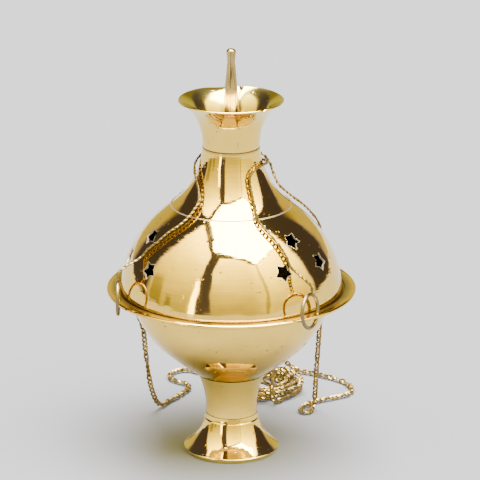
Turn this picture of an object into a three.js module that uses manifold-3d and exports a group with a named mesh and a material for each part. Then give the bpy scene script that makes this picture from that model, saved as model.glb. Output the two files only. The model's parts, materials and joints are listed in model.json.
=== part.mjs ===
// A hanging incense burner of spun, polished brass: a footed bowl with a ringed flange, a pierced
// lid with a funnel mouth and a spike, and three chains that lie over the lid and in a heap behind.
// Sizes are millimetres and +Z is up. The origin is the middle of the foot, on the table.
// An outline is a list of [radius, height] points, and azimuths are degrees from the front, -Y,
// towards +X. A line's pulls are how far its curve runs on before it bends, at its lower end and
// at its upper end.
import * as THREE from "three";
import { mergeVertices } from "three/addons/utils/BufferGeometryUtils.js";
import Module from "manifold-3d";

const wasm = await Module();
wasm.setup();

// Clearances and sheet
const SEAT_GAP = 0.3; // between two faces that rest on each other
const SLIP_GAP = 0.4; // round a part that slips into another
const SHEET = 1.2; // brass of the bowl, stem, foot and lid
const FUNNEL_SHEET = 1.0;
const PAN_SHEET = 0.8;
const CUTTER_LENGTH = 9; // long enough to pass both faces of any sheet

// Foot
const FOOT_HEIGHT = 23.85;
const FOOT_TOP_RADIUS = 15.8;
const FOOT_REST_RADIUS = 28.1; // outside of the ring that stands on the table
const FOOT_REST_WIDTH = 1.4;
const FOOT_LIP_RADIUS = 28.95; // the widest place, where the edge turns down
const FOOT_LIP_MIDDLE = 2.3; // height of the widest place
const FOOT_LIP_TOP = 2.8;
const FOOT_LIP_DRAW = 0.25; // how far the edge draws in again at its top
const FOOT_LINE = { leave: [-8.7, 7], arrive: [1.95, -11.7], pieces: 8 };
const FOOT_GROOVE_DROP = 3.05; // from the foot's top down to its turned line
const GROOVE_WIDTH = 0.7;
const GROOVE_DEPTH = 0.3;

// Stem
const STEM_HEIGHT = 25.25;
const STEM_SETBACK = 0.2; // how far the stem starts inside the foot's edge
const STEM_TOP_RADIUS = 20.9;
const STEM_LINE = { leave: [-0.68, 8.74], arrive: [-4.07, -7.77], pieces: 5 };

// Bowl and flange
const BOWL_HEIGHT = 54.1; // from the stem's top to the flange's flat top
const BOWL_MOUTH_DROP = 3.2; // from the flange's top down to the top of the bowl's wall
const BOWL_LINE = { leave: [19.62, 13.87], arrive: [-5.46, -25.04], pieces: 9 };
const LEDGE_WIDTH = 5.9; // from the bowl's wall out to the lid's foot
const LEDGE_FILLET = 1;
const FLANGE_WIDTH = 6.6; // from the channel out to the flange's edge
const FLANGE_SHEET = 1.1;
const BEAD_RADIUS = 1.15; // rolled edge of the flange
const BEAD_STAND = 0.4; // how far the bead stands over the flange's top
const CHANNEL_DEPTH = 1.1; // the step in the flange where the lid sits
const CHANNEL_PLAY = 1.2; // round the lid's foot
const CHANNEL_EDGE = 0.5;
const RING_HOLE_RADIUS = 1.7;
const RING_HOLE_INSET = 4; // from the flange's edge in to the holes' middles
const RING_HOLE_AZIMUTHS = { right: 45.5, left: -70.5, back: 167 };

// Bolt that holds bowl, stem and foot together
const BOLT_RADIUS = 3;
const BOLT_HEAD_RADIUS = 6.5;
const BOLT_HEAD_HEIGHT = 3;
const BOLT_HEAD_EDGE = 0.9; // straight part of the head's side
const BOLT_HEAD_LINE = { leave: [0, 1.3], arrive: [3.6, 0], pieces: 5 };
const BOLT_TAIL = 2.5; // thread that stands out under the nut
const WASHER_DROP = 7.7; // from the foot's top down to the clamp washer's top
const NUT_ACROSS_FLATS = 10;
const NUT_HEIGHT = 3.6;

// Charcoal pan
const PAN_BASE_RADIUS = 24;
const PAN_STAND = 9.6; // from the bowl's floor up to the pan
const PAN_DEPTH = 12.1;
const PAN_LIP_HEIGHT = 0.8;
const PAN_LIP_FLARE = 0.6;

// Lid: dome, neck, funnel
const LID_FOOT_RADIUS = 67.2;
const DOME_HEIGHT = 52.55;
const DOME_TOP_RADIUS = 36;
const DOME_LINE = { leave: [-2.51, 22.65], arrive: [18.19, -13.38], pieces: 11 };
const NECK_HEIGHT = 35.5;
const NECK_TOP_RADIUS = 17.1;
const NECK_LINE = { leave: [-11.75, 9.24], arrive: [1.52, -14.71], pieces: 9 };
const SEAM_STEP = 0.25; // how far each upper shell starts inside the seam and over it
const SPIGOT_LENGTH = 3.3; // the neck's tail inside the dome
const SPIGOT_CHAMFER = 0.4;
const COLLAR_LENGTH = 2.7; // the neck's collar inside the funnel
const FUNNEL_HEIGHT = 27.8;
const FUNNEL_RIM_RADIUS = 31.3;
const FUNNEL_LINE = { leave: [0, 11.6], arrive: [-10.53, -5.97], pieces: 9 };
const RIM_ROUND = 0.35;

// Pierced stars: the azimuth of each group, and how high its one upper and its two lower stars are
// over the lid's foot
const STAR_GROUPS = [
  [46.2, 40.4, 26],
  [-67.4, 38.6, 23],
  [167, 39.5, 24.5],
];
const STAR_SPREAD = 15; // degrees from a group's middle to each lower star
const STAR_RADIUS = 5.05;
const STAR_INNER_RADIUS = 3.1;

// Spike and its seat
const SEAT_PLATE_THICKNESS = 1.2;
const SMOKE_HOLE_RADIUS = 3;
const SMOKE_HOLE_CIRCLE = 9.6;
const SMOKE_HOLES = 4;
const FIRST_SMOKE_HOLE = 45; // azimuth
const SPIKE_HEIGHT = 55.2; // over the seat plate
const SPIKE_BOSS_RADIUS = 6;
const SPIKE_BOSS_HEIGHT = 1.2;
const SPIKE_ROOT_RADIUS = 4.7;
const SPIKE_ROOT_RISE = 1; // cone between the boss and the shaft
const SPIKE_SHAFT_LINE = { leave: [-0.3, 20], arrive: [0.9, -9], pieces: 8 };
const SPIKE_WAIST_RADIUS = 1.94;
const SPIKE_KNOB_RADIUS = 2.41;
const SPIKE_KNOB_HEIGHT = 8.4;
const SPIKE_CROWN_HEIGHT = 2.2;
const SPIKE_CROWN_LINE = { leave: [0.1, 1.2], arrive: [1.4, 0], pieces: 5 };
const SPIKE_TAIL_RADIUS = 1.9;
const SPIKE_TAIL_END = 2; // tail that stands out under its nut
const SPIKE_NUT_ACROSS_FLATS = 8;
const SPIKE_NUT_HEIGHT = 3.4;

// Rings: the middle of the wire's circle, the wire, and how each one stands in its hole.
// along is the level direction of the ring's plane, rise the height of its middle over the flange.
const RING_RADIUS = 9.9;
const RING_WIRE_RADIUS = 0.95;
const RING_STAND = 4.25; // over its hole, where the chain holds the ring up
const RING_HANG = 4.45; // under its hole, where the chain pulls the ring down
const RINGS = {
  right: { along: [-0.47, -0.883], rise: RING_STAND, tilt: -5 },
  left: { along: [0, -1], rise: RING_STAND, tilt: 0 },
  back: { along: [0.999, -0.044], rise: -RING_HANG, tilt: 0 },
};

// Chains
const CHAIN_WIDTH = 3.6;
const CHAIN_SIDES = 8;
const HEAP_MIDDLE = [15, 103];
const HEAP_RADIUS = 29; // middle of the outermost turn
const HEAP_TURN_PITCH = 4.8; // inwards from one turn to the next
const HEAP_LAYER_PITCH = 4.3; // from the lower layer up to the upper one
const HEAP_TURNS = 2.25; // in each layer
const HEAP_START = -40; // degrees from +X, anticlockwise
const HEAP_LOBES = 3;
const HEAP_LOBE_SHARE = 0.02;
const HEAP_LOBE_AT = -15;
const HEAP_STEPS_PER_TURN = 24;
const HEAP_SIDES = 6;
const CHAIN_FLOOR = 2.1; // height of a chain's middle where it lies on the table

// Facets round each turned piece
const WIDE_FACETS = 40;
const NECK_FACETS = 30;
const STEM_FACETS = 28;
const SMALL_FACETS = 14;
const HOLE_FACETS = 20;
const LEAST_STEP = 0.05; // no two heights of an outline's ends lie closer
const BEAD_PIECES = 7;
const RING_FACETS = 20;
const RING_WIRE_SIDES = 6;

// Heights that follow from the stack
const stemBottom = FOOT_HEIGHT + SEAT_GAP;
const stemTop = stemBottom + STEM_HEIGHT;
const bowlBase = stemTop + SEAT_GAP;
const bowlFloor = bowlBase + SHEET;
const flangeTop = bowlBase + BOWL_HEIGHT;
const flangeUnder = flangeTop - FLANGE_SHEET;
const channelFloor = flangeTop - CHANNEL_DEPTH;
const lidFoot = channelFloor + SEAT_GAP;
const domeTop = lidFoot + DOME_HEIGHT;
const neckBottom = domeTop + SEAM_STEP;
const neckTop = neckBottom + NECK_HEIGHT;
const collarTop = neckTop + COLLAR_LENGTH;
const funnelBottom = neckTop + SEAT_GAP;
const seatPlateBottom = collarTop + SEAT_GAP;
const spikeBase = seatPlateBottom + SEAT_PLATE_THICKNESS + SEAT_GAP;

// Radii that follow
const stemBottomRadius = FOOT_TOP_RADIUS - STEM_SETBACK;
const bowlMouthRadius = LID_FOOT_RADIUS - LEDGE_WIDTH;
const channelRadius = LID_FOOT_RADIUS + CHANNEL_PLAY;
const flangeRadius = channelRadius + FLANGE_WIDTH;
const ringHoleCircle = flangeRadius - RING_HOLE_INSET;
const boltHoleRadius = BOLT_RADIUS + SLIP_GAP;

// Finishes
const polishedBrass = new THREE.MeshStandardMaterial({ color: 0xd9b25c, roughness: 0.12, metalness: 1 });
const chainBrass = new THREE.MeshStandardMaterial({ color: 0xb58f45, roughness: 0.3, metalness: 1 });
const plainBrass = new THREE.MeshStandardMaterial({ color: 0xa8853f, roughness: 0.45, metalness: 1 });
const sootedBrass = new THREE.MeshStandardMaterial({ color: 0x4f4030, roughness: 0.7, metalness: 0.8 });

// Outlines

// A smooth stretch of outline from one end to the other, which leaves and arrives along its pulls.
function curve(from, to, { leave, arrive, pieces }) {
  const bend = new THREE.CubicBezierCurve(
    new THREE.Vector2(...from),
    new THREE.Vector2(from[0] + leave[0], from[1] + leave[1]),
    new THREE.Vector2(to[0] + arrive[0], to[1] + arrive[1]),
    new THREE.Vector2(...to),
  );
  return bend.getSpacedPoints(pieces).map((p) => [p.x, p.y]);
}

// The same outline moved inwards by the thickness of the sheet, point by point along its normals.
function inside(outline, sheet) {
  return outline.map(([radius, height], i) => {
    const before = outline[Math.max(i - 1, 0)];
    const after = outline[Math.min(i + 1, outline.length - 1)];
    const dr = after[0] - before[0];
    const dz = after[1] - before[1];
    const length = Math.hypot(dr, dz);
    return [radius - (sheet * dz) / length, height + (sheet * dr) / length];
  });
}

// The radius of an outline at a height.
function radiusAt(outline, height) {
  for (let i = 1; i < outline.length; i++) {
    const [r0, z0] = outline[i - 1];
    const [r1, z1] = outline[i];
    if (height >= z0 && height <= z1) return r0 + ((r1 - r0) * (height - z0)) / (z1 - z0);
  }
  return height < outline[0][1] ? outline[0][0] : outline[outline.length - 1][0];
}

// The part of an outline between two heights, with level ends.
function between(outline, low, high) {
  const middle = outline.filter(([, z]) => z > low + LEAST_STEP && z < high - LEAST_STEP);
  return [[radiusAt(outline, low), low], ...middle, [radiusAt(outline, high), high]];
}

// An outline with a turned V groove at a height.
function engraved(outline, height) {
  const half = GROOVE_WIDTH / 2;
  const below = outline.filter(([, z]) => z < height - half);
  const above = outline.filter(([, z]) => z > height + half);
  const groove = [
    [radiusAt(outline, height - half), height - half],
    [radiusAt(outline, height) - GROOVE_DEPTH, height],
    [radiusAt(outline, height + half), height + half],
  ];
  return [...below, ...groove, ...above];
}

// An arc of outline round a middle, from one angle to another in degrees, anticlockwise.
function arc(middle, radius, from, to, pieces) {
  return Array.from({ length: pieces + 1 }, (_, i) => {
    const angle = THREE.MathUtils.degToRad(from + ((to - from) * i) / pieces);
    return [middle[0] + radius * Math.cos(angle), middle[1] + radius * Math.sin(angle)];
  });
}

// Solids

// A turned solid: the outline goes up its outside and comes back down its inside or the axis.
function turned(outline, facets) {
  const onAxis = outline[0][0] === 0;
  const loop = onAxis ? outline : [...outline, outline[0]];
  const points = loop.map(([radius, height]) => new THREE.Vector2(radius, height));
  return new THREE.LatheGeometry(points, facets).rotateX(Math.PI / 2);
}

function toSolid(geometry) {
  const bare = geometry.index ? geometry.toNonIndexed() : geometry.clone();
  bare.deleteAttribute("normal");
  bare.deleteAttribute("uv");
  const merged = mergeVertices(bare, 1e-4);
  return new wasm.Manifold(
    new wasm.Mesh({
      numProp: 3,
      vertProperties: merged.attributes.position.array,
      triVerts: new Uint32Array(merged.index.array),
    }),
  );
}

function fromSolid(solid) {
  const mesh = solid.getMesh();
  const geometry = new THREE.BufferGeometry();
  geometry.setAttribute("position", new THREE.BufferAttribute(mesh.vertProperties, 3));
  geometry.setIndex(new THREE.BufferAttribute(mesh.triVerts, 1));
  return geometry;
}

// A body with each cutter taken out of it.
function cut(geometry, cutters) {
  const solid = cutters.reduce((left, cutter) => left.subtract(toSolid(cutter)), toSolid(geometry));
  return fromSolid(solid);
}

function circlePath(x, y, radius) {
  return new THREE.Path().absarc(x, y, radius, 0, 2 * Math.PI, true);
}

// A flat plate with an outline and round holes, standing on a height.
function plate(shape, holes, bottom, thickness) {
  shape.holes.push(...holes);
  const flat = { depth: thickness, bevelEnabled: false, curveSegments: HOLE_FACETS / 2 };
  return new THREE.ExtrudeGeometry(shape, flat).translate(0, 0, bottom);
}

function hexagon(acrossFlats) {
  const corner = acrossFlats / Math.sqrt(3);
  const points = Array.from({ length: 6 }, (_, i) => {
    const angle = (i * Math.PI) / 3;
    return new THREE.Vector2(corner * Math.cos(angle), corner * Math.sin(angle));
  });
  return new THREE.Shape(points);
}

function hexNut(acrossFlats, bore, bottom, height) {
  return plate(hexagon(acrossFlats), [circlePath(0, 0, bore)], bottom, height);
}

// A point at an azimuth, a radius and a height.
function around(azimuth, radius, height) {
  const angle = THREE.MathUtils.degToRad(azimuth);
  return new THREE.Vector3(radius * Math.sin(angle), -radius * Math.cos(angle), height);
}

// A tube of flat sides along a route.
function tube(route, width, sides, steps) {
  const section = new THREE.Shape(
    Array.from({ length: sides }, (_, i) => {
      const angle = ((i + 0.5) * 2 * Math.PI) / sides;
      return new THREE.Vector2((width / 2) * Math.cos(angle), (width / 2) * Math.sin(angle));
    }),
  );
  return new THREE.ExtrudeGeometry(section, { steps, bevelEnabled: false, extrudePath: route });
}

// Foot, stem and bowl

const footEdge = [FOOT_LIP_RADIUS - FOOT_LIP_DRAW, FOOT_LIP_TOP];
const footLine = curve(footEdge, [FOOT_TOP_RADIUS, FOOT_HEIGHT], FOOT_LINE);
const footInside = inside(footLine, SHEET);

function foot() {
  const outside = engraved(footLine, FOOT_HEIGHT - FOOT_GROOVE_DROP);
  const wall = between(footInside, footInside[0][1], FOOT_HEIGHT).reverse();
  const outline = [
    [FOOT_REST_RADIUS, 0],
    [FOOT_LIP_RADIUS, FOOT_LIP_MIDDLE],
    ...outside,
    ...wall,
    [FOOT_REST_RADIUS - FOOT_REST_WIDTH, 0],
  ];
  return turned(outline, STEM_FACETS);
}

function stem() {
  const outside = curve([stemBottomRadius, stemBottom], [STEM_TOP_RADIUS, stemTop], STEM_LINE);
  const wall = between(inside(outside, SHEET), stemBottom, stemTop).reverse();
  return turned([...outside, ...wall], STEM_FACETS);
}

const bowlMouth = flangeTop - BOWL_MOUTH_DROP;
const bowlOutside = curve([STEM_TOP_RADIUS, bowlBase], [bowlMouthRadius, bowlMouth], BOWL_LINE);
const bowlInside = between(inside(bowlOutside, SHEET), bowlFloor, bowlMouth);

// The rolled edge, from where it leaves the flange's underside round to where it meets its top.
function flangeBead() {
  const middle = [flangeRadius - BEAD_RADIUS, flangeTop + BEAD_STAND - BEAD_RADIUS];
  const angleAt = (height) => THREE.MathUtils.radToDeg(Math.asin((height - middle[1]) / BEAD_RADIUS));
  return arc(middle, BEAD_RADIUS, 180 - angleAt(flangeUnder), 540 - angleAt(flangeTop), BEAD_PIECES);
}

function bowl() {
  const ledgeUnder = channelFloor - FLANGE_SHEET;
  const outline = [
    [boltHoleRadius, bowlBase],
    ...bowlOutside,
    [bowlMouthRadius + LEDGE_FILLET, ledgeUnder],
    [channelRadius + FLANGE_SHEET, ledgeUnder],
    [channelRadius + 2 * FLANGE_SHEET, flangeUnder],
    ...flangeBead(),
    [channelRadius + CHANNEL_EDGE, flangeTop],
    [channelRadius, flangeTop - CHANNEL_EDGE],
    [channelRadius, channelFloor],
    [bowlMouthRadius - SHEET, channelFloor],
    ...bowlInside.slice().reverse(),
    [boltHoleRadius, bowlFloor],
  ];
  const drills = Object.values(RING_HOLE_AZIMUTHS).map((azimuth) => {
    const middle = around(azimuth, ringHoleCircle, flangeTop);
    const drill = new THREE.CylinderGeometry(RING_HOLE_RADIUS, RING_HOLE_RADIUS, CUTTER_LENGTH, SMALL_FACETS);
    return drill.rotateX(Math.PI / 2).translate(middle.x, middle.y, middle.z);
  });
  return cut(turned(outline, WIDE_FACETS), drills);
}

// Bolt, washer and nut inside the stem and foot

const washerTop = FOOT_HEIGHT - WASHER_DROP;
const washerBottom = washerTop - SHEET;
const nutBottom = washerBottom - SEAT_GAP - NUT_HEIGHT;

function tieBolt() {
  const headBottom = bowlFloor + SEAT_GAP;
  const edge = [BOLT_HEAD_RADIUS, headBottom + BOLT_HEAD_EDGE];
  const head = curve(edge, [0, headBottom + BOLT_HEAD_HEIGHT], BOLT_HEAD_LINE);
  const outline = [
    [0, nutBottom - BOLT_TAIL],
    [BOLT_RADIUS, nutBottom - BOLT_TAIL],
    [BOLT_RADIUS, headBottom],
    [BOLT_HEAD_RADIUS, headBottom],
    ...head,
  ];
  return turned(outline, SMALL_FACETS);
}

function clampWasher() {
  const edge = radiusAt(footInside, washerTop) - SEAT_GAP;
  const outline = [
    [boltHoleRadius, washerBottom],
    [edge, washerBottom],
    [edge, washerTop],
    [boltHoleRadius, washerTop],
  ];
  return turned(outline, STEM_FACETS);
}

// Charcoal pan: a dished tray whose rim rests round the bowl's wall

function charcoalPan() {
  const base = bowlFloor + PAN_STAND;
  const rim = base + PAN_DEPTH;
  const rimRadius = radiusAt(bowlInside, rim) - SLIP_GAP;
  const wall = [
    [PAN_BASE_RADIUS, base],
    [rimRadius - PAN_LIP_FLARE, rim - PAN_LIP_HEIGHT],
    [rimRadius, rim],
  ];
  const back = between(inside(wall, PAN_SHEET), base + PAN_SHEET, rim).reverse();
  return turned([[0, base], ...wall, ...back, [0, base + PAN_SHEET]], STEM_FACETS);
}

// Lid shells

const domeOutside = curve([LID_FOOT_RADIUS, lidFoot], [DOME_TOP_RADIUS, domeTop], DOME_LINE);
const domeInside = inside(domeOutside, SHEET);
const domeMouthInner = domeInside[domeInside.length - 1][0];

function starShape() {
  const points = Array.from({ length: 10 }, (_, i) => {
    const radius = i % 2 === 0 ? STAR_RADIUS : STAR_INNER_RADIUS;
    const angle = -Math.PI / 2 + (i * Math.PI) / 5;
    return new THREE.Vector2(radius * Math.cos(angle), radius * Math.sin(angle));
  });
  return new THREE.Shape(points);
}

// A star-shaped cutter square to the dome at an azimuth and a height, with one tip down.
function starCutter(azimuth, height) {
  const cutter = new THREE.ExtrudeGeometry(starShape(), { depth: CUTTER_LENGTH, bevelEnabled: false });
  cutter.translate(0, 0, -CUTTER_LENGTH / 2);
  const step = 1;
  const slope = (radiusAt(domeOutside, height + step) - radiusAt(domeOutside, height - step)) / (2 * step);
  const outward = around(azimuth, 1, -slope).normalize();
  const level = new THREE.Vector3(0, 0, 1).cross(outward).normalize();
  const up = new THREE.Vector3().crossVectors(outward, level);
  const place = new THREE.Matrix4().makeBasis(level, up, outward);
  place.setPosition(around(azimuth, radiusAt(domeOutside, height), height));
  return cutter.applyMatrix4(place);
}

function lidDome() {
  const wall = domeInside.filter(([, z]) => z > lidFoot + LEAST_STEP).reverse();
  const outline = [...domeOutside, ...wall, [LID_FOOT_RADIUS - SHEET, lidFoot]];
  const stars = STAR_GROUPS.flatMap(([azimuth, upper, lower]) => [
    starCutter(azimuth, lidFoot + upper),
    starCutter(azimuth - STAR_SPREAD, lidFoot + lower),
    starCutter(azimuth + STAR_SPREAD, lidFoot + lower),
  ]);
  return cut(turned(outline, WIDE_FACETS), stars);
}

const neckOutside = curve([DOME_TOP_RADIUS - SEAM_STEP, neckBottom], [NECK_TOP_RADIUS, neckTop], NECK_LINE);

function lidNeck() {
  const inner = inside(neckOutside, SHEET);
  const spigotRadius = domeMouthInner - SLIP_GAP;
  const spigotBottom = domeTop - SPIGOT_LENGTH;
  const collarRadius = NECK_TOP_RADIUS - FUNNEL_SHEET - SLIP_GAP;
  const wall = inner.filter(([r, z]) => r < spigotRadius - SHEET && z < neckTop - SHEET).reverse();
  const outline = [
    ...neckOutside,
    [collarRadius, neckTop],
    [collarRadius, collarTop],
    [collarRadius - SHEET, collarTop],
    [collarRadius - SHEET, neckTop - SHEET],
    ...wall,
    [spigotRadius - SHEET, wall[wall.length - 1][1] - SPIGOT_CHAMFER],
    [spigotRadius - SHEET, spigotBottom],
    [spigotRadius, spigotBottom],
    [spigotRadius, inner[0][1]],
    inner[0],
  ];
  return turned(outline, NECK_FACETS);
}

const funnelRim = [FUNNEL_RIM_RADIUS, funnelBottom + FUNNEL_HEIGHT];
const funnelOutside = curve([NECK_TOP_RADIUS, funnelBottom], funnelRim, FUNNEL_LINE);
const funnelInside = inside(funnelOutside, FUNNEL_SHEET);

function mouthFunnel() {
  const last = funnelOutside[funnelOutside.length - 1];
  const lastInner = funnelInside[funnelInside.length - 1];
  const across = [lastInner[0] - last[0], lastInner[1] - last[1]];
  const bulge = RIM_ROUND / FUNNEL_SHEET;
  const rim = [
    (last[0] + lastInner[0]) / 2 + across[1] * bulge,
    (last[1] + lastInner[1]) / 2 - across[0] * bulge,
  ];
  const wall = funnelInside.slice(1).reverse();
  const outline = [...funnelOutside, rim, ...wall, [NECK_TOP_RADIUS - FUNNEL_SHEET, funnelBottom]];
  return turned(outline, NECK_FACETS);
}

// Seat plate, spike and nut in the funnel

const spikeHoleRadius = SPIKE_TAIL_RADIUS + SLIP_GAP;

function spikeSeatPlate() {
  const edge = radiusAt(funnelInside, seatPlateBottom) - SLIP_GAP;
  const disc = new THREE.Shape().absarc(0, 0, edge, 0, 2 * Math.PI, false);
  const smokeHoles = Array.from({ length: SMOKE_HOLES }, (_, i) => {
    const middle = around(FIRST_SMOKE_HOLE + (360 * i) / SMOKE_HOLES, SMOKE_HOLE_CIRCLE, 0);
    return circlePath(middle.x, middle.y, SMOKE_HOLE_RADIUS);
  });
  const holes = [circlePath(0, 0, spikeHoleRadius), ...smokeHoles];
  return plate(disc, holes, seatPlateBottom, SEAT_PLATE_THICKNESS);
}

const spikeNutTop = seatPlateBottom - SEAT_GAP;
const spikeNutBottom = spikeNutTop - SPIKE_NUT_HEIGHT;

function spike() {
  const bossTop = spikeBase + SPIKE_BOSS_HEIGHT;
  const tip = spikeBase + SPIKE_HEIGHT;
  const root = [SPIKE_ROOT_RADIUS, bossTop + SPIKE_ROOT_RISE];
  const shaft = curve(root, [SPIKE_WAIST_RADIUS, tip - SPIKE_KNOB_HEIGHT], SPIKE_SHAFT_LINE);
  const knob = curve([SPIKE_KNOB_RADIUS, tip - SPIKE_CROWN_HEIGHT], [0, tip], SPIKE_CROWN_LINE);
  const outline = [
    [0, spikeNutBottom - SPIKE_TAIL_END],
    [SPIKE_TAIL_RADIUS, spikeNutBottom - SPIKE_TAIL_END],
    [SPIKE_TAIL_RADIUS, spikeBase],
    [SPIKE_BOSS_RADIUS, spikeBase],
    [SPIKE_BOSS_RADIUS, bossTop],
    ...shaft,
    ...knob,
  ];
  return turned(outline, SMALL_FACETS);
}

// Rings

function wireRing() {
  return new THREE.TorusGeometry(RING_RADIUS, RING_WIRE_RADIUS, RING_WIRE_SIDES, RING_FACETS);
}

// A ring through its flange hole: it crosses the flange at the hole and again outside the edge.
function flangeRing(name) {
  const { along, rise, tilt } = RINGS[name];
  const reach = Math.sqrt(RING_RADIUS ** 2 - rise ** 2);
  const geometry = wireRing().rotateX(Math.PI / 2).translate(reach, 0, rise);
  geometry.rotateX(THREE.MathUtils.degToRad(tilt));
  const ring = new THREE.Mesh(geometry, chainBrass);
  ring.rotation.z = Math.atan2(along[1], along[0]);
  ring.position.copy(around(RING_HOLE_AZIMUTHS[name], ringHoleCircle, flangeTop - FLANGE_SHEET / 2));
  return ring;
}

// Chain routes: the middle line of each stretch, from its flange ring to the top ring in the heap

const F = CHAIN_FLOOR;
const ROUTES = {
  right_chain_over_lid: [
    [47.2, -58.1, 118.7], [46.9, -57.9, 122.3], [44.2, -56.4, 125.2], [40, -53.4, 128.2],
    [34.6, -49.1, 132.2], [32.7, -47, 136.8], [28.6, -44.2, 142.9], [24.5, -42, 147.4],
    [18.7, -38.6, 152.9], [15.2, -34.2, 157.3], [14.1, -28.8, 162], [12.4, -24.3, 167.7],
    [11.3, -21.4, 172.9], [11.2, -19.3, 177.3], [13.4, -16.5, 180.6], [17.7, -11, 182.1],
    [20.9, -1.8, 181.7], [20, 7.3, 180.6], [15.3, 15.3, 179.1], [7.6, 20.9, 177.7],
    [-2, 22.7, 176.1], [-9.5, 22.3, 172.9], [-15.5, 22.1, 168.2], [-21.4, 23.8, 162],
    [-29, 28.5, 154.6], [-36.3, 33.7, 146.4], [-42.4, 38.1, 137.2], [-46.7, 42.1, 126.9],
    [-49.8, 44.8, 116.6], [-51.6, 46.6, 109.6],
  ],
  left_chain_over_lid: [
    [-66.9, -32.7, 118.7], [-66.7, -32.7, 122.3], [-64.4, -31.9, 124.8], [-60.6, -30.4, 127.2],
    [-53.1, -28.9, 131.6], [-50.2, -29.5, 135.3], [-46.8, -30.4, 138.8], [-43, -31.5, 142.1],
    [-39.1, -31.5, 145.7], [-35.1, -31.4, 148.9], [-31.2, -31.5, 151.5], [-26.7, -30.3, 154.9],
    [-22.5, -27.2, 159.1], [-19.2, -22.9, 164.4], [-19.1, -18.5, 168.7], [-20.4, -12.7, 173.3],
    [-21.5, -6.6, 176.9], [-21.4, 0.7, 180.1], [-19.5, 7.1, 182.3], [-15.6, 13.1, 183.9],
    [-10.1, 17.5, 184.8], [-3.5, 19.8, 185.2], [3.5, 19.9, 185], [8, 19, 184.5],
    [13.1, 18.7, 183.6], [18.9, 17.7, 181.2], [22.8, 14.8, 177.4], [25.1, 11.2, 171.7],
    [28.2, 9.7, 165.1], [35.1, 11.7, 157.9], [43.6, 15, 150.2], [49.2, 17.9, 143.4],
    [53.3, 23.7, 135.1], [53.9, 32.4, 126.9], [52.1, 40.7, 118.6], [50.5, 46.3, 113],
    [50.2, 48.2, 109.9],
  ],
  right_chain_fall: [
    [-51.7, 46.7, 109.1], [-52, 47, 108], [-53.2, 48.2, 107.1], [-55.3, 50.3, 106.8],
    [-57.5, 52.6, 104], [-58, 52.6, 97], [-57.7, 51.9, 82], [-57.5, 51.9, 67.4], [-55.2, 54, 58.2],
    [-53.9, 55.6, 43.3], [-52.3, 57.4, 28.5], [-51.3, 58.6, 20.7], [-49.8, 60.2, 13.4],
    [-47.3, 63.1, 6], [-44.6, 66.6, 2.6], [-42.4, 70.6, F], [-38.6, 77, F], [-33.5, 85.2, F],
    [-29.3, 93, F], [-27.3, 100.6, F], [-29.6, 107, F], [-35.4, 111, F], [-39.6, 117.2, F],
    [-39.6, 125, F], [-35, 131.2, F], [-28, 132.2, F], [-21.6, 128.4, 2.6], [-16.2, 123.4, 5.4],
    [-11.6, 118.9, 9.4], [-7.2, 114.2, 10.7], [-4, 108.6, 10.7], [-1.3, 103.6, 9.8],
    [1.7, 98.9, 7.4], [4.6, 94.6, 4.9], [9, 91.1, 2.8], [14.1, 89.7, F], [19.5, 90.5, F],
    [24.4, 93.6, F], [27.3, 98, F], [28.8, 102, F], [26.7, 104.2, F],
  ],
  left_chain_fall: [
    [50.2, 48.5, 109.2], [50.4, 48.8, 108.1], [51.5, 50, 107.1], [53.5, 52.2, 106.8],
    [55.4, 54.8, 104], [55.4, 55.2, 97], [54.9, 54.2, 82], [54.9, 53.2, 66], [54.4, 55.6, 53.1],
    [54, 57.2, 44.9], [53.4, 59.8, 33.5], [52.8, 62.5, 20.3], [52.6, 64.4, 13], [52.4, 65.2, 9],
    [51.8, 63, 5.2],
    [50.6, 58.6, 2.6], [47.6, 55.3, F], [44.2, 56.8, F], [43.6, 61.2, F], [45.4, 65.8, F],
    [48.2, 69.4, F], [51.6, 72.8, F], [55.9, 76.2, F], [61.1, 79, F], [67, 82.3, F],
    [72.4, 85.6, F], [76, 91, F], [76.9, 97.8, F], [74.9, 105, F], [70.8, 111.7, F],
    [65.2, 117, F], [58.4, 122, F], [51, 126.8, F], [44.6, 129.6, 2.4], [39.6, 130.6, 4.4],
    [34.6, 130.4, 8.3], [29.4, 128.9, 10.7], [24.4, 126.4, 10.8], [20.2, 122.8, 10.6],
    [17, 118.8, 9.6], [14.6, 115.4, 6.8], [13.2, 113.4, 4.6], [13.2, 112.9, 2.25],
  ],
  back_chain_fall: [
    [24.9, 68.8, 87.6], [24.9, 68.8, 84], [24.8, 68.8, 70], [24.9, 68.9, 50], [25.1, 69, 30],
    [25.3, 69.2, 14], [25.8, 69.9, 6], [27.3, 72, 2.6], [29.9, 75.5, F], [32.4, 78.6, F],
    [34.8, 81.2, F],
  ],
  back_chain_end: [
    [40.2, 86.9, 6.4], [42.4, 88.9, 6.5], [44.3, 92.6, 7.7], [43.8, 98, 9.9], [41, 103, 10.9],
    [36.4, 107.6, 10.9], [29.8, 110.9, 10.2], [24.7, 111.7, 7.4], [21.9, 111.2, 4.8],
    [21.1, 110.8, 2.25],
  ],
};
const STEPS = {
  right_chain_over_lid: 36,
  left_chain_over_lid: 40,
  right_chain_fall: 50,
  left_chain_fall: 46,
  back_chain_fall: 14,
  back_chain_end: 12,
};

function chainTube(name) {
  const route = new THREE.CatmullRomCurve3(ROUTES[name].map((point) => new THREE.Vector3(...point)));
  return new THREE.Mesh(tube(route, CHAIN_WIDTH, CHAIN_SIDES, STEPS[name]), chainBrass);
}

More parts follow.
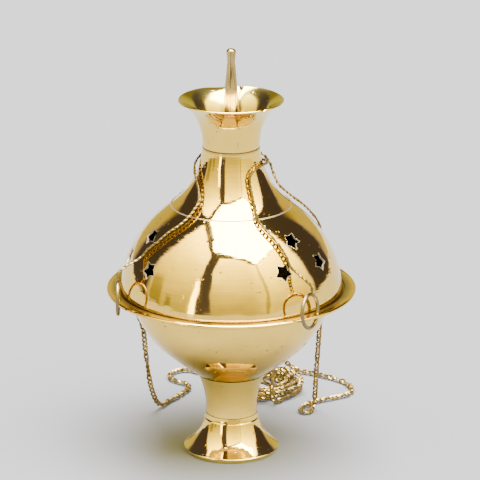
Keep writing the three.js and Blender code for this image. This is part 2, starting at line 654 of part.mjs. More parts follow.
// The back chain's heap: it winds in along the table, climbs a layer in half a turn, and winds out.
function heapPoint(turn) {
  const angle = THREE.MathUtils.degToRad(HEAP_START + 360 * turn);
  const climb = THREE.MathUtils.smoothstep(turn, HEAP_TURNS, HEAP_TURNS + 0.5);
  const wound = Math.min(turn, HEAP_TURNS, 2 * HEAP_TURNS + 0.5 - turn);
  const lobe = 1 + HEAP_LOBE_SHARE * Math.cos(HEAP_LOBES * (angle - THREE.MathUtils.degToRad(HEAP_LOBE_AT)));
  const radius = (HEAP_RADIUS - HEAP_TURN_PITCH * wound) * lobe;
  return new THREE.Vector3(
    HEAP_MIDDLE[0] + radius * Math.cos(angle),
    HEAP_MIDDLE[1] + radius * Math.sin(angle),
    CHAIN_FLOOR + HEAP_LAYER_PITCH * climb,
  );
}

function heapRoute() {
  const turns = 2 * HEAP_TURNS + 0.5;
  const count = Math.round(turns * HEAP_STEPS_PER_TURN);
  const points = Array.from({ length: count + 1 }, (_, i) => heapPoint((turns * i) / count));
  const leave = points[0].clone().sub(points[1]).setLength(CHAIN_WIDTH);
  const arrive = points[count].clone().sub(points[count - 1]).setLength(CHAIN_WIDTH);
  return [points[0].clone().add(leave), ...points, points[count].clone().add(arrive)];
}

// The least gap between the tube's surface and itself, over pairs of points far apart along it.
function leastGap(points, width) {
  const apart = 3 * width;
  let along = 0;
  const lengths = points.map((p, i) => (along += i ? p.distanceTo(points[i - 1]) : 0));
  let least = Infinity;
  points.forEach((p, i) =>
    points.forEach((q, j) => {
      if (lengths[j] - lengths[i] > apart) least = Math.min(least, p.distanceTo(q) - width);
    }),
  );
  return least;
}

function chainHeap() {
  const points = heapRoute();
  const route = new THREE.CatmullRomCurve3(points);
  const fine = route.getSpacedPoints(12 * points.length);
  console.log(`back_chain_heap: least gap to itself ${leastGap(fine, CHAIN_WIDTH).toFixed(2)} mm`);
  return new THREE.Mesh(tube(route, CHAIN_WIDTH, HEAP_SIDES, points.length - 1), chainBrass);
}

function topRing() {
  const geometry = wireRing().translate(HEAP_MIDDLE[0], HEAP_MIDDLE[1], RING_WIRE_RADIUS);
  return new THREE.Mesh(geometry, chainBrass);
}

// The burner

const burner = new THREE.Group();

function add(name, mesh) {
  mesh.name = name;
  burner.add(mesh);
}

add("foot", new THREE.Mesh(foot(), polishedBrass));
add("stem", new THREE.Mesh(stem(), polishedBrass));
add("bowl", new THREE.Mesh(bowl(), polishedBrass));
add("tie_bolt", new THREE.Mesh(tieBolt(), plainBrass));
add("clamp_washer", new THREE.Mesh(clampWasher(), plainBrass));
add("tie_nut", new THREE.Mesh(hexNut(NUT_ACROSS_FLATS, boltHoleRadius, nutBottom, NUT_HEIGHT), plainBrass));
add("charcoal_pan", new THREE.Mesh(charcoalPan(), sootedBrass));
add("lid_dome", new THREE.Mesh(lidDome(), polishedBrass));
add("lid_neck", new THREE.Mesh(lidNeck(), polishedBrass));
add("mouth_funnel", new THREE.Mesh(mouthFunnel(), polishedBrass));
add("spike_seat_plate", new THREE.Mesh(spikeSeatPlate(), plainBrass));
add("spike", new THREE.Mesh(spike(), polishedBrass));
const spikeNut = hexNut(SPIKE_NUT_ACROSS_FLATS, spikeHoleRadius, spikeNutBottom, SPIKE_NUT_HEIGHT);
add("spike_nut", new THREE.Mesh(spikeNut, plainBrass));
for (const side of Object.keys(RINGS)) add(`${side}_ring`, flangeRing(side));
for (const stretch of Object.keys(ROUTES)) add(stretch, chainTube(stretch));
add("back_chain_heap", chainHeap());
add("top_ring", topRing());

export default burner;
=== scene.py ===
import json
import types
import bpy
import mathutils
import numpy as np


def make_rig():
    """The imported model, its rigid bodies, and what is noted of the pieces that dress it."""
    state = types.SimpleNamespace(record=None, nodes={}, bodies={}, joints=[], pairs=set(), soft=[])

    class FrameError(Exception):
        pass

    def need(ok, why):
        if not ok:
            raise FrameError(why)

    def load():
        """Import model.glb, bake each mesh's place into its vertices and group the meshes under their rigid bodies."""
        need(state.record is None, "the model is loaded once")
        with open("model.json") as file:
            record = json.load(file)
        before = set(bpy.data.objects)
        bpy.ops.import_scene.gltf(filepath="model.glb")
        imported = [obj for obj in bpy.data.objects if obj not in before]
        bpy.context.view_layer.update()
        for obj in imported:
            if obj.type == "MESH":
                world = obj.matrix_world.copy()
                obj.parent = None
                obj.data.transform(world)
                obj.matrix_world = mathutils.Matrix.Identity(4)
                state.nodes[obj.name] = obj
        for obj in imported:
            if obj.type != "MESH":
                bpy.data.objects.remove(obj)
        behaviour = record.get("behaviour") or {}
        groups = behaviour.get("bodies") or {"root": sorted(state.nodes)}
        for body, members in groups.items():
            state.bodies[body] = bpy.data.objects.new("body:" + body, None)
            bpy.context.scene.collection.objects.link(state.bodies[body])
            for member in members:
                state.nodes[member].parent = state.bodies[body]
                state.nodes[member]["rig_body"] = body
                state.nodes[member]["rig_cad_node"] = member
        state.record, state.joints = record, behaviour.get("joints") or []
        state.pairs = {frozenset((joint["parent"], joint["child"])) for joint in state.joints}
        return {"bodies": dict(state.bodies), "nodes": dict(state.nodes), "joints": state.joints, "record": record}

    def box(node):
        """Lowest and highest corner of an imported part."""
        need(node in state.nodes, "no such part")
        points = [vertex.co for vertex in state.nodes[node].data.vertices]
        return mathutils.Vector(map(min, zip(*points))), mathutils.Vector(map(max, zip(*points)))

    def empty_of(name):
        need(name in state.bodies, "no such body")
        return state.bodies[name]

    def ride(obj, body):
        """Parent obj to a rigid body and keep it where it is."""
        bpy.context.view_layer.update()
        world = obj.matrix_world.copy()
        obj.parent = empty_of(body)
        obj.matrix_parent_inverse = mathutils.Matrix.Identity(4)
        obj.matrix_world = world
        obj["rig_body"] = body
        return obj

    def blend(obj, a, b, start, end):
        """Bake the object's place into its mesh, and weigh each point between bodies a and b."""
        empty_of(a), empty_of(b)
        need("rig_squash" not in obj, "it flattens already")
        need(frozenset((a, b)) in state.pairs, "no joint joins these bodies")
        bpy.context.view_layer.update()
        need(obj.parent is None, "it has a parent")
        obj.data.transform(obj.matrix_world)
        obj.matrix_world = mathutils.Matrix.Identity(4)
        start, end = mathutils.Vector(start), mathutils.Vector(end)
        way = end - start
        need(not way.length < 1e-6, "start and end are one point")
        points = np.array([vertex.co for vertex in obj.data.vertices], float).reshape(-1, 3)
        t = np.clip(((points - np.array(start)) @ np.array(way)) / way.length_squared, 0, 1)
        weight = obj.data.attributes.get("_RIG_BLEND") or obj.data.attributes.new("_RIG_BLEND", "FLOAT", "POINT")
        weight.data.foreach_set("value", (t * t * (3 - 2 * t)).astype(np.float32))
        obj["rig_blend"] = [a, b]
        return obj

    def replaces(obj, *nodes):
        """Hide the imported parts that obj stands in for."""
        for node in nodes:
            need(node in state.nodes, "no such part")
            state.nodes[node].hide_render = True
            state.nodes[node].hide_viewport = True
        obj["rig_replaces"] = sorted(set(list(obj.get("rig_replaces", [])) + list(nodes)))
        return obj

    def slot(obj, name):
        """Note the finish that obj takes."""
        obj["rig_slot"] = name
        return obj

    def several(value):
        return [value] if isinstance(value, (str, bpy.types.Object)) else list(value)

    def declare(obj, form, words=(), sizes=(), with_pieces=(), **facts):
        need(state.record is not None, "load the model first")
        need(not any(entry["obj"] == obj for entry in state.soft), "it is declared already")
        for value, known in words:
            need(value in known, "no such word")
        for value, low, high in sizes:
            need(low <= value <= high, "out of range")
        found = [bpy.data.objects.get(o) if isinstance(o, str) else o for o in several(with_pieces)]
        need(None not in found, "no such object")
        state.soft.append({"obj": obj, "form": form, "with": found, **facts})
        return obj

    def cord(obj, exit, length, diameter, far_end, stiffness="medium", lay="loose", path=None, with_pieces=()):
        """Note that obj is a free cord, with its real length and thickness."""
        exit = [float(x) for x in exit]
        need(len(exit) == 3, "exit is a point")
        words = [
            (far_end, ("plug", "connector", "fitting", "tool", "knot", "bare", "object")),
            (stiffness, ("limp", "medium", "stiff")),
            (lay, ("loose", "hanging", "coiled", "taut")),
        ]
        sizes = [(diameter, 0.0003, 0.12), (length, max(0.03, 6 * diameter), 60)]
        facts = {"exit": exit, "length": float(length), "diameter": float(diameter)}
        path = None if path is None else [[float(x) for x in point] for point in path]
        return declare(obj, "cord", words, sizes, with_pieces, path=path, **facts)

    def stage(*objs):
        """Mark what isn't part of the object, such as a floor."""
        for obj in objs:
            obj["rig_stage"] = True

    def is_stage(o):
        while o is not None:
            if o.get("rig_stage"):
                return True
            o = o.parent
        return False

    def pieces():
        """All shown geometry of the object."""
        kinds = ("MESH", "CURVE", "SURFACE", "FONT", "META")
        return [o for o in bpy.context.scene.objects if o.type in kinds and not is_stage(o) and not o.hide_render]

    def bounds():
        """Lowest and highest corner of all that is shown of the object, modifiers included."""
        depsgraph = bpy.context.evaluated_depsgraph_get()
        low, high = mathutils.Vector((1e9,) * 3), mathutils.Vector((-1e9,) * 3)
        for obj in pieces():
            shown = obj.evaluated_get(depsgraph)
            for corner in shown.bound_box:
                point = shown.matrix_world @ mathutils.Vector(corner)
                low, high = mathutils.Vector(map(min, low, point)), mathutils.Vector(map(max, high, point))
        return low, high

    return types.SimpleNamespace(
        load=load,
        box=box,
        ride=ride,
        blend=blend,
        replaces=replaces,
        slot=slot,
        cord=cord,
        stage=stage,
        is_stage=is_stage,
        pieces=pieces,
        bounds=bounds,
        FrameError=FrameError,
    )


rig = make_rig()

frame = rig.load()

# A hanging incense burner of polished, spun brass, in metres and in the frame of its parts.
import json
import math

import bmesh
import bpy
import numpy as np

MM = 0.001
CAD_BOX = [list(map(float, corner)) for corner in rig.bounds()]


# Camera

CAMERA_PLACE = (0.00522, -1.8, 0.7052)
CAMERA_PITCH = 72.36  # degrees from straight down
CAMERA_LENS = 236.5  # millimetres
SENSOR_WIDTH = 36
CAMERA_REACH = 50  # metres


def placed(name, data):
    """A new object in the scene, at the origin."""
    thing = bpy.data.objects.new(name, data)
    bpy.context.scene.collection.objects.link(thing)
    return thing


camera_data = bpy.data.cameras.new("camera")
camera_data.lens = CAMERA_LENS
camera_data.sensor_width = SENSOR_WIDTH
camera_data.clip_end = CAMERA_REACH
camera = placed("camera", camera_data)
camera.location = CAMERA_PLACE
camera.rotation_euler = (math.radians(CAMERA_PITCH), 0, 0)
bpy.context.scene.camera = camera


# Meshes from arrays

SHORTEST = 1e-12  # keeps a vector without length from dividing by nought

def mesh_piece(name, points, faces):
    """A smooth mesh object at the origin, from an array of points and one of equal-cornered faces."""
    points = np.asarray(points, np.float32).reshape(-1, 3)
    faces = np.asarray(faces, np.int32)
    mesh = bpy.data.meshes.new(name)
    mesh.vertices.add(len(points))
    mesh.vertices.foreach_set("co", points.ravel())
    corners = faces.shape[1]
    mesh.loops.add(faces.size)
    mesh.loops.foreach_set("vertex_index", faces.ravel())
    mesh.polygons.add(len(faces))
    mesh.polygons.foreach_set("loop_start", np.arange(len(faces), dtype=np.int32) * corners)
    mesh.polygons.foreach_set("use_smooth", np.ones(len(faces), bool))
    mesh.update(calc_edges=True)
    return placed(name, mesh)


def wrapped_faces(rows, columns):
    """Quads over a grid of rows by columns that is joined round both ways."""
    i, j = np.meshgrid(np.arange(rows), np.arange(columns), indexing="ij")
    i, j = i.ravel(), j.ravel()
    i2, j2 = (i + 1) % rows, (j + 1) % columns
    return np.stack([i * columns + j, i2 * columns + j, i2 * columns + j2, i * columns + j2], 1)


def unit(vectors):
    """The vectors at a length of one."""
    return vectors / np.maximum(np.linalg.norm(vectors, axis=-1, keepdims=True), SHORTEST)


# Routes of the chains

ROUTE_FINENESS = 24  # steps between two points of a route, before they are made even
ROUTE_STEP = 0.5 * MM


def points_at(places, known, points):
    """The points that lie at some places, between those that lie at the known places."""
    return np.stack([np.interp(places, known, points[:, axis]) for axis in range(3)], 1)


def pulled(a, b, t0, t1, t):
    """The straight line that is a at t0 and b at t1, at every t."""
    return ((t1 - t) * a + (t - t0) * b) / (t1 - t0)


def smooth_route(points, step):
    """A centripetal Catmull-Rom curve through the points, taken every step along its length."""
    p = np.asarray(points, float)
    p = np.vstack([2 * p[0] - p[1], p, 2 * p[-1] - p[-2]])
    stretches = []
    for k in range(1, len(p) - 2):
        four = p[k - 1:k + 3]
        knots = np.concatenate([[0], np.cumsum(np.sqrt(np.linalg.norm(np.diff(four, axis=0), axis=1)))])
        t = np.linspace(knots[1], knots[2], ROUTE_FINENESS, endpoint=False)[:, None]
        a1 = pulled(four[0], four[1], knots[0], knots[1], t)
        a2 = pulled(four[1], four[2], knots[1], knots[2], t)
        a3 = pulled(four[2], four[3], knots[2], knots[3], t)
        b1 = pulled(a1, a2, knots[0], knots[2], t)
        b2 = pulled(a2, a3, knots[1], knots[3], t)
        stretches.append(pulled(b1, b2, knots[1], knots[2], t))
    fine = np.vstack([*stretches, p[-2:-1]])
    along = np.concatenate([[0], np.cumsum(np.linalg.norm(np.diff(fine, axis=0), axis=1))])
    count = max(2, round(along[-1] / step) + 1)
    even = np.linspace(0, along[-1], count)
    return points_at(even, along, fine), along[-1]


# Points along the middle of each chain, in millimetres
FLOOR = 2.1  # height of a chain's middle where it lies on the table
RIGHT_OVER_LID = [
    [47.2, -58.1, 118.7], [46.9, -57.9, 122.3], [44.2, -56.4, 125.2], [40, -53.4, 128.2],
    [34.6, -49.1, 132.2], [32.7, -47, 136.8], [28.6, -44.2, 142.9], [24.5, -42, 147.4],
    [18.7, -38.6, 152.9], [15.2, -34.2, 157.3], [14.1, -28.8, 162], [12.4, -24.3, 167.7],
    [11.3, -21.4, 172.9], [11.2, -19.3, 177.3], [13.4, -16.5, 180.6], [17.7, -11, 182.1],
    [20.9, -1.8, 181.7], [20, 7.3, 180.6], [15.3, 15.3, 179.1], [7.6, 20.9, 177.7],
    [-2, 22.7, 176.1], [-9.5, 22.3, 172.9], [-15.5, 22.1, 168.2], [-21.4, 23.8, 162],
    [-29, 28.5, 154.6], [-36.3, 33.7, 146.4], [-42.4, 38.1, 137.2], [-46.7, 42.1, 126.9],
    [-49.8, 44.8, 116.6], [-51.6, 46.6, 109.6],
]
LEFT_OVER_LID = [
    [-66.9, -32.7, 118.7], [-66.7, -32.7, 122.3], [-64.4, -31.9, 124.8], [-60.6, -30.4, 127.2],
    [-53.1, -28.9, 131.6], [-50.2, -29.5, 135.3], [-46.8, -30.4, 138.8], [-43, -31.5, 142.1],
    [-39.1, -31.5, 145.7], [-35.1, -31.4, 148.9], [-31.2, -31.5, 151.5], [-26.7, -30.3, 154.9],
    [-22.5, -27.2, 159.1], [-19.2, -22.9, 164.4], [-19.1, -18.5, 168.7], [-20.4, -12.7, 173.3],
    [-21.5, -6.6, 176.9], [-21.4, 0.7, 180.1], [-19.5, 7.1, 182.3], [-15.6, 13.1, 183.9],
    [-10.1, 17.5, 184.8], [-3.5, 19.8, 185.2], [3.5, 19.9, 185], [8, 19, 184.5],
    [13.1, 18.7, 183.6], [18.9, 17.7, 181.2], [22.8, 14.8, 177.4], [25.1, 11.2, 171.7],
    [28.2, 9.7, 165.1], [35.1, 11.7, 157.9], [43.6, 15, 150.2], [49.2, 17.9, 143.4],
    [53.3, 23.7, 135.1], [53.9, 32.4, 126.9], [52.1, 40.7, 118.6], [50.5, 46.3, 113],
    [50.2, 48.2, 109.9],
]
RIGHT_FALL = [
    [-51.7, 46.7, 109.1], [-52, 47, 108], [-53.2, 48.2, 107.1], [-55.3, 50.3, 106.8],
    [-57.5, 52.6, 104], [-58, 52.6, 97], [-57.7, 51.9, 82], [-57.5, 51.9, 67.4], [-55.2, 54, 58.2],
    [-53.9, 55.6, 43.3], [-52.3, 57.4, 28.5], [-51.3, 58.6, 20.7], [-49.8, 60.2, 13.4],
    [-47.3, 63.1, 6], [-44.6, 66.6, 2.6], [-42.4, 70.6, FLOOR], [-38.6, 77, FLOOR],
    [-33.5, 85.2, FLOOR], [-29.3, 93, FLOOR], [-27.3, 100.6, FLOOR], [-29.6, 107, FLOOR],
    [-35.4, 111, FLOOR], [-39.6, 117.2, FLOOR], [-39.6, 125, FLOOR], [-35, 131.2, FLOOR],
    [-28, 132.2, FLOOR], [-21.6, 128.4, 2.6], [-16.2, 123.4, 5.4], [-11.6, 118.9, 9.4],
    [-7.2, 114.2, 10.7], [-4, 108.6, 10.7], [-1.3, 103.6, 9.8], [1.7, 98.9, 7.4], [4.6, 94.6, 4.9],
    [9, 91.1, 2.8], [14.1, 89.7, FLOOR], [19.5, 90.5, FLOOR], [24.4, 93.6, FLOOR],
    [27.3, 98, FLOOR], [28.8, 102, FLOOR], [26.7, 104.2, FLOOR],
]
LEFT_FALL = [
    [50.2, 48.5, 109.2], [50.4, 48.8, 108.1], [51.5, 50, 107.1], [53.5, 52.2, 106.8],
    [55.4, 54.8, 104], [55.4, 55.2, 97], [54.9, 54.2, 82], [54.9, 53.2, 66], [54.4, 55.6, 53.1],
    [54, 57.2, 44.9], [53.4, 59.8, 33.5], [52.8, 62.5, 20.3], [52.6, 64.4, 13], [52.4, 65.2, 9],
    [51.8, 63, 5.2], [50.6, 58.6, 2.6], [47.6, 55.3, FLOOR], [44.2, 56.8, FLOOR],
    [43.6, 61.2, FLOOR], [45.4, 65.8, FLOOR], [48.2, 69.4, FLOOR], [51.6, 72.8, FLOOR],
    [55.9, 76.2, FLOOR], [61.1, 79, FLOOR], [67, 82.3, FLOOR], [72.4, 85.6, FLOOR],
    [76, 91, FLOOR], [76.9, 97.8, FLOOR], [74.9, 105, FLOOR], [70.8, 111.7, FLOOR],
    [65.2, 117, FLOOR], [58.4, 122, FLOOR], [51, 126.8, FLOOR], [44.6, 129.6, 2.4],
    [39.6, 130.6, 4.4], [34.6, 130.4, 8.3], [29.4, 128.9, 10.7], [24.4, 126.4, 10.8],
    [20.2, 122.8, 10.6], [17, 118.8, 9.6], [14.6, 115.4, 6.8], [13.2, 113.4, 4.6],
    [13.2, 112.9, 2.25],
]
BACK_FALL = [
    [24.9, 68.8, 87.6], [24.9, 68.8, 84], [24.8, 68.8, 70], [24.9, 68.9, 50], [25.1, 69, 30],
    [25.3, 69.2, 14], [25.8, 69.9, 6], [27.3, 72, 2.6], [29.9, 75.5, FLOOR], [32.4, 78.6, FLOOR],
    [34.8, 81.2, FLOOR],
]
BACK_END = [
    [40.2, 86.9, 6.4], [42.4, 88.9, 6.5], [44.3, 92.6, 7.7], [43.8, 98, 9.9], [41, 103, 10.9],
    [36.4, 107.6, 10.9], [29.8, 110.9, 10.2], [24.7, 111.7, 7.4], [21.9, 111.2, 4.8],
    [21.1, 110.8, 2.25],
]

HEAP_MIDDLE = (15, 103)
HEAP_RADIUS = 29  # middle of the outermost turn
HEAP_TURN_PITCH = 4.8
HEAP_LAYER_PITCH = 4.3
HEAP_TURNS = 2.25  # in each layer
HEAP_CLIMB = 0.5  # turns in which it climbs a layer
HEAP_STEPS = 24  # in each turn
HEAP_START = math.radians(-40)
HEAP_LOBES = 3
HEAP_LOBE_SHARE = 0.02
HEAP_LOBE_AT = math.radians(-15)


def heap_points():
    """The back chain's heap: it winds in along the table, climbs a layer in half a turn, winds out."""
    turns = 2 * HEAP_TURNS + HEAP_CLIMB
    turn = np.linspace(0, turns, round(turns * HEAP_STEPS) + 1)
    angle = HEAP_START + 2 * np.pi * turn
    climb = np.clip((turn - HEAP_TURNS) / HEAP_CLIMB, 0, 1)
    climb = climb * climb * (3 - 2 * climb)
    wound = np.minimum(np.minimum(turn, HEAP_TURNS), turns - turn)
    lobe = 1 + HEAP_LOBE_SHARE * np.cos(HEAP_LOBES * (angle - HEAP_LOBE_AT))
    radius = (HEAP_RADIUS - HEAP_TURN_PITCH * wound) * lobe
    x = HEAP_MIDDLE[0] + radius * np.cos(angle)
    y = HEAP_MIDDLE[1] + radius * np.sin(angle)
    return np.stack([x, y, FLOOR + HEAP_LAYER_PITCH * climb], 1).tolist()


# Chain links

CHAIN_WIDTH = 3.6 * MM
LINK_WIRE = 1.35 * MM
LID_LINK_WIRE = 1.1 * MM  # of the worn links that lie over the lid
LINK_LENGTH = 5.2 * MM
LINK_PITCH = 3.0 * MM
LINK_TWIST = math.radians(40)
LINK_FLATNESS = 0.8  # below one, its long sides are flatter than an oval's
LINK_STEPS = 12
LINK_SIDES = 5
LINK_HOOK = 1.3 * MM  # how far the first link reaches round its ring
LINK_END = 0.3 * MM  # how far a link reaches past the end of a route
LINK_SPAN = 0.4  # share of its length over which a link takes the route's direction
LINK_WOBBLE = 0.5
LID_LINK_TWIST = math.radians(18)
LID_LINK_WOBBLE = 0.1
LID_LINK_LEAN = 0.12  # how far the links over the lid turn away from it
FRONT_AND_RIGHT = (0.25, -1.0, 0.0)
VIEW_DIRECTION = (0.0, 0.953, -0.303)  # the camera's own


def link_template(twist, wire):
    """One twisted oval link round the origin, with its length along x.

    The wire's middle runs along x = half length times cos t and across = half width times sin t,
    drawn out to a flatter side, and is turned about x by the twist times cos t. Round it goes a
    circle of the wire's radius.
    """
    t = np.arange(LINK_STEPS) * 2 * np.pi / LINK_STEPS
    half_length = (LINK_LENGTH - wire) / 2
    half_width = (CHAIN_WIDTH - wire) / 2
    side = np.sign(np.sin(t)) * np.abs(np.sin(t)) ** LINK_FLATNESS
    turn = twist * np.cos(t)
    middle = np.stack(
        [half_length * np.cos(t), half_width * side * np.cos(turn), half_width * side * np.sin(turn)], 1
    )
    tangent = unit(np.roll(middle, -1, 0) - np.roll(middle, 1, 0))
    out = unit(middle - tangent * (middle * tangent).sum(1, keepdims=True))
    across = np.cross(tangent, out)
    s = np.arange(LINK_SIDES) * 2 * np.pi / LINK_SIDES
    ring = out[:, None] * np.cos(s)[None, :, None] + across[:, None] * np.sin(s)[None, :, None]
    return (middle[:, None] + wire / 2 * ring).reshape(-1, 3)


def chain_piece(name, route, faces_towards, twist, wire, wobble, hook, seed):
    """Links along a route, one every pitch, each laid flat towards a direction that varies with it."""
    line, length = smooth_route(np.asarray(route, float) * MM, ROUTE_STEP)
    lead = LINK_LENGTH / 2 - LINK_END
    start = LINK_LENGTH / 2 - hook
    count = round((length - lead - start) / LINK_PITCH) + 1
    at = np.linspace(start, length - lead, count)
    along = np.linspace(0, length, len(line))
    place = points_at(at, along, line)
    reach = LINK_LENGTH * LINK_SPAN
    tangent = unit(points_at(at + reach, along, line) - points_at(at - reach, along, line))
    out = faces_towards(place, tangent)
    out = unit(out - tangent * (out * tangent).sum(1, keepdims=True))
    roll = np.random.default_rng(seed).normal(0, wobble, count)
    side = np.cross(out, tangent)
    across = side * np.cos(roll)[:, None] + out * np.sin(roll)[:, None]
    out = np.cross(tangent, across)
    template = link_template(twist, wire)
    axes = np.stack([tangent, across, out], 1)
    points = place[:, None] + np.einsum("vk,lkc->lvc", template, axes)
    one = wrapped_faces(LINK_STEPS, LINK_SIDES)
    faces = (np.arange(count)[:, None, None] * len(template) + one[None]).reshape(-1, 4)
    piece = mesh_piece(name, points, faces)
    return piece, line, length


def towards_eye_or_up(place, tangent):
    """Up where the chain lies level, and to the front where it hangs."""
    steep = np.abs(tangent[:, 2:3]) ** 2
    front = np.array([FRONT_AND_RIGHT])
    up = np.array([[0.0, 0.0, 1.0]])
    return front * steep + up * (1 - steep)


def off_the_lid(place, tangent):
    """Across the chain, level with the view from the front, and a little away from the lid."""
    view = np.array([VIEW_DIRECTION])
    away = unit(place * np.array([[1.0, 1.0, 0.0]]))
    return unit(np.cross(tangent, view)) + LID_LINK_LEAN * away


# Materials

# Paler brass in bands, a painted reflection colour that lightens the reflections there.
PALE_METAL = (0.93, 0.74, 0.18)
CUT_METAL = (0.80, 0.70, 0.55)
# Black used both for smoke-blackening inside the burner and as painted shade in gaps, crevices and hollows.
SOOT = (0.05, 0.038, 0.02)
SMUDGE = 0.11  # how strong the faint smudges are that all brass here has

# What each effect adds to the roughness, and to the height in millimetres
DARK_ROUGHNESS = 0.28
SOOT_ROUGHNESS = 0.32
CUT_ROUGHNESS = 0.4
GRAIN_ROUGHNESS = 0.03
RIPPLE_HEIGHT = 0.2
LINE_HEIGHT = 0.04
PIT_HEIGHT = -0.05


def node_tools(tree):
    """A tree's nodes and links, a tool for sums on numbers or sockets, and one that mixes colours."""
    nodes, links = tree.nodes, tree.links

    def op(operation, *values, clamp=False):
        node = nodes.new("ShaderNodeMath")
        node.operation = operation
        node.use_clamp = clamp
        for socket, value in zip(node.inputs, values):
            if isinstance(value, (int, float)):
                socket.default_value = value
            else:
                links.new(value, socket)
        return node.outputs[0]

    def mix(factor, below, above):
        node = nodes.new("ShaderNodeMix")
        node.data_type = "RGBA"
        links.new(factor, node.inputs["Factor"])
        for socket, value in ((node.inputs["A"], below), (node.inputs["B"], above)):
            if isinstance(value, tuple):
                socket.default_value = (*value, 1)
            else:
                links.new(value, socket)
        return node.outputs["Result"]

    return nodes, links, op, mix


def brass_wear_group():
    """Colour, roughness and height of worn brass.

    The colour goes from bright to dark by clouds of tarnish, by smudges, by pits and by streaks
    along z, to a paler metal by the mask Pale, a painted reflection colour, to black by
    the mask Soot, which is smoke-blackening inside and painted shade in gaps and hollows,
    and to a rough cut by the mask Cut. What is dark, sooted, shaded or cut is rougher. The height
    is a sum of wide dents, small ripples, turned lines round z, and pits.
    """
    group = bpy.data.node_groups.new("brass wear", "ShaderNodeTree")
    face = group.interface
    for name in ("Tarnish", "Lines", "Dents", "Pits", "Streaks", "Soot", "Pale", "Cut"):
        socket = face.new_socket(name, in_out="INPUT", socket_type="NodeSocketFloat")
        socket.min_value = 0.0
    for name in ("Bright", "Dark"):
        face.new_socket(name, in_out="INPUT", socket_type="NodeSocketColor")
    face.new_socket("Color", in_out="OUTPUT", socket_type="NodeSocketColor")
    face.new_socket("Roughness", in_out="OUTPUT", socket_type="NodeSocketFloat")
    face.new_socket("Height", in_out="OUTPUT", socket_type="NodeSocketFloat")
    nodes, links, op, mix = node_tools(group)
    inputs = nodes.new("NodeGroupInput").outputs
    outputs = nodes.new("NodeGroupOutput").inputs
    place = nodes.new("ShaderNodeTexCoord")

    def noise(detail, scale=1.0, stretch=None):
        node = nodes.new("ShaderNodeTexNoise")
        node.inputs["Scale"].default_value = scale
        node.inputs["Detail"].default_value = detail
        vector = place.outputs["Object"]
        if stretch:
            squeeze = nodes.new("ShaderNodeMapping")
            squeeze.inputs["Scale"].default_value = stretch
            links.new(vector, squeeze.inputs["Vector"])
            vector = squeeze.outputs["Vector"]
        links.new(vector, node.inputs["Vector"])
        return node.outputs["Fac"]

    def above(value, level, gain):
        return op("MULTIPLY", op("SUBTRACT", value, level), gain, clamp=True)

    lines = noise(detail=3.0, stretch=(6, 6, 420))
    dents = noise(detail=1.0, scale=26.0)
    ripples = noise(detail=1.0, scale=75.0)
    grain = noise(detail=2.0, scale=700.0)
    streaks = noise(detail=3.0, stretch=(850, 850, 18))
    spots = op("SUBTRACT", 1.0, noise(detail=1.0, scale=420.0))
    pit = op("MULTIPLY", above(spots, level=0.71, gain=12.0), inputs["Pits"])
    clouds = noise(detail=5.0, scale=38.0)
    grime = op("MULTIPLY", above(clouds, level=0.45, gain=3.2), inputs["Tarnish"])
    run = op("MULTIPLY", above(streaks, level=0.5, gain=5.0), inputs["Streaks"])
    smudge = op("MULTIPLY", above(noise(detail=6.0, scale=130.0), level=0.35, gain=2.0), SMUDGE)
    dark = op("ADD", op("ADD", grime, pit), op("ADD", run, smudge), clamp=True)
    # Painted reflection colour: paler brass by its mask.
    color = mix(inputs["Pale"], inputs["Bright"], PALE_METAL)
    color = mix(dark, color, inputs["Dark"])
    # Smoke-blackening and painted shade, by the mask Soot.
    color = mix(inputs["Soot"], color, SOOT)
    color = mix(inputs["Cut"], color, CUT_METAL)
    links.new(color, outputs["Color"])
    rough = op("MULTIPLY", dark, DARK_ROUGHNESS)
    rough = op("ADD", rough, op("MULTIPLY", inputs["Soot"], SOOT_ROUGHNESS))
    rough = op("ADD", rough, op("MULTIPLY", inputs["Cut"], CUT_ROUGHNESS))
    rough = op("ADD", rough, op("MULTIPLY", grain, GRAIN_ROUGHNESS))
    links.new(rough, outputs["Roughness"])
    uneven = op("ADD", dents, op("MULTIPLY", ripples, RIPPLE_HEIGHT))
    height = op("MULTIPLY", uneven, inputs["Dents"])
    turned = op("MULTIPLY", lines, inputs["Lines"])
    height = op("ADD", height, op("MULTIPLY", turned, LINE_HEIGHT))
    height = op("ADD", height, op("MULTIPLY", pit, PIT_HEIGHT))
    links.new(height, outputs["Height"])
    return group


WEAR = brass_wear_group()


def brass_material(name, bright, dark, roughness, **wear_values):
    """Brass in one finish, from the shared group of wear and painted light, and a roughness of its own."""
    material = bpy.data.materials.new(name)
    material.use_nodes = True
    nodes, links, op, _ = node_tools(material.node_tree)
    shader = nodes["Principled BSDF"]
    shader.inputs["Metallic"].default_value = 1.0
    wear = nodes.new("ShaderNodeGroup")
    wear.node_tree = WEAR
    for effect, value in wear_values.items():
        wear.inputs[effect].default_value = value
    wear.inputs["Bright"].default_value = (*bright, 1)
    wear.inputs["Dark"].default_value = (*dark, 1)
    for mask in ("Soot", "Pale", "Cut"):
        painted = nodes.new("ShaderNodeAttribute")
        painted.attribute_name = mask.lower()
        links.new(painted.outputs["Fac"], wear.inputs[mask])
    links.new(wear.outputs["Color"], shader.inputs["Base Color"])
    links.new(op("ADD", wear.outputs["Roughness"], roughness), shader.inputs["Roughness"])
    relief = nodes.new("ShaderNodeBump")
    relief.inputs["Distance"].default_value = MM
    links.new(wear.outputs["Height"], relief.inputs["Height"])
    links.new(relief.outputs["Normal"], shader.inputs["Normal"])
    return material


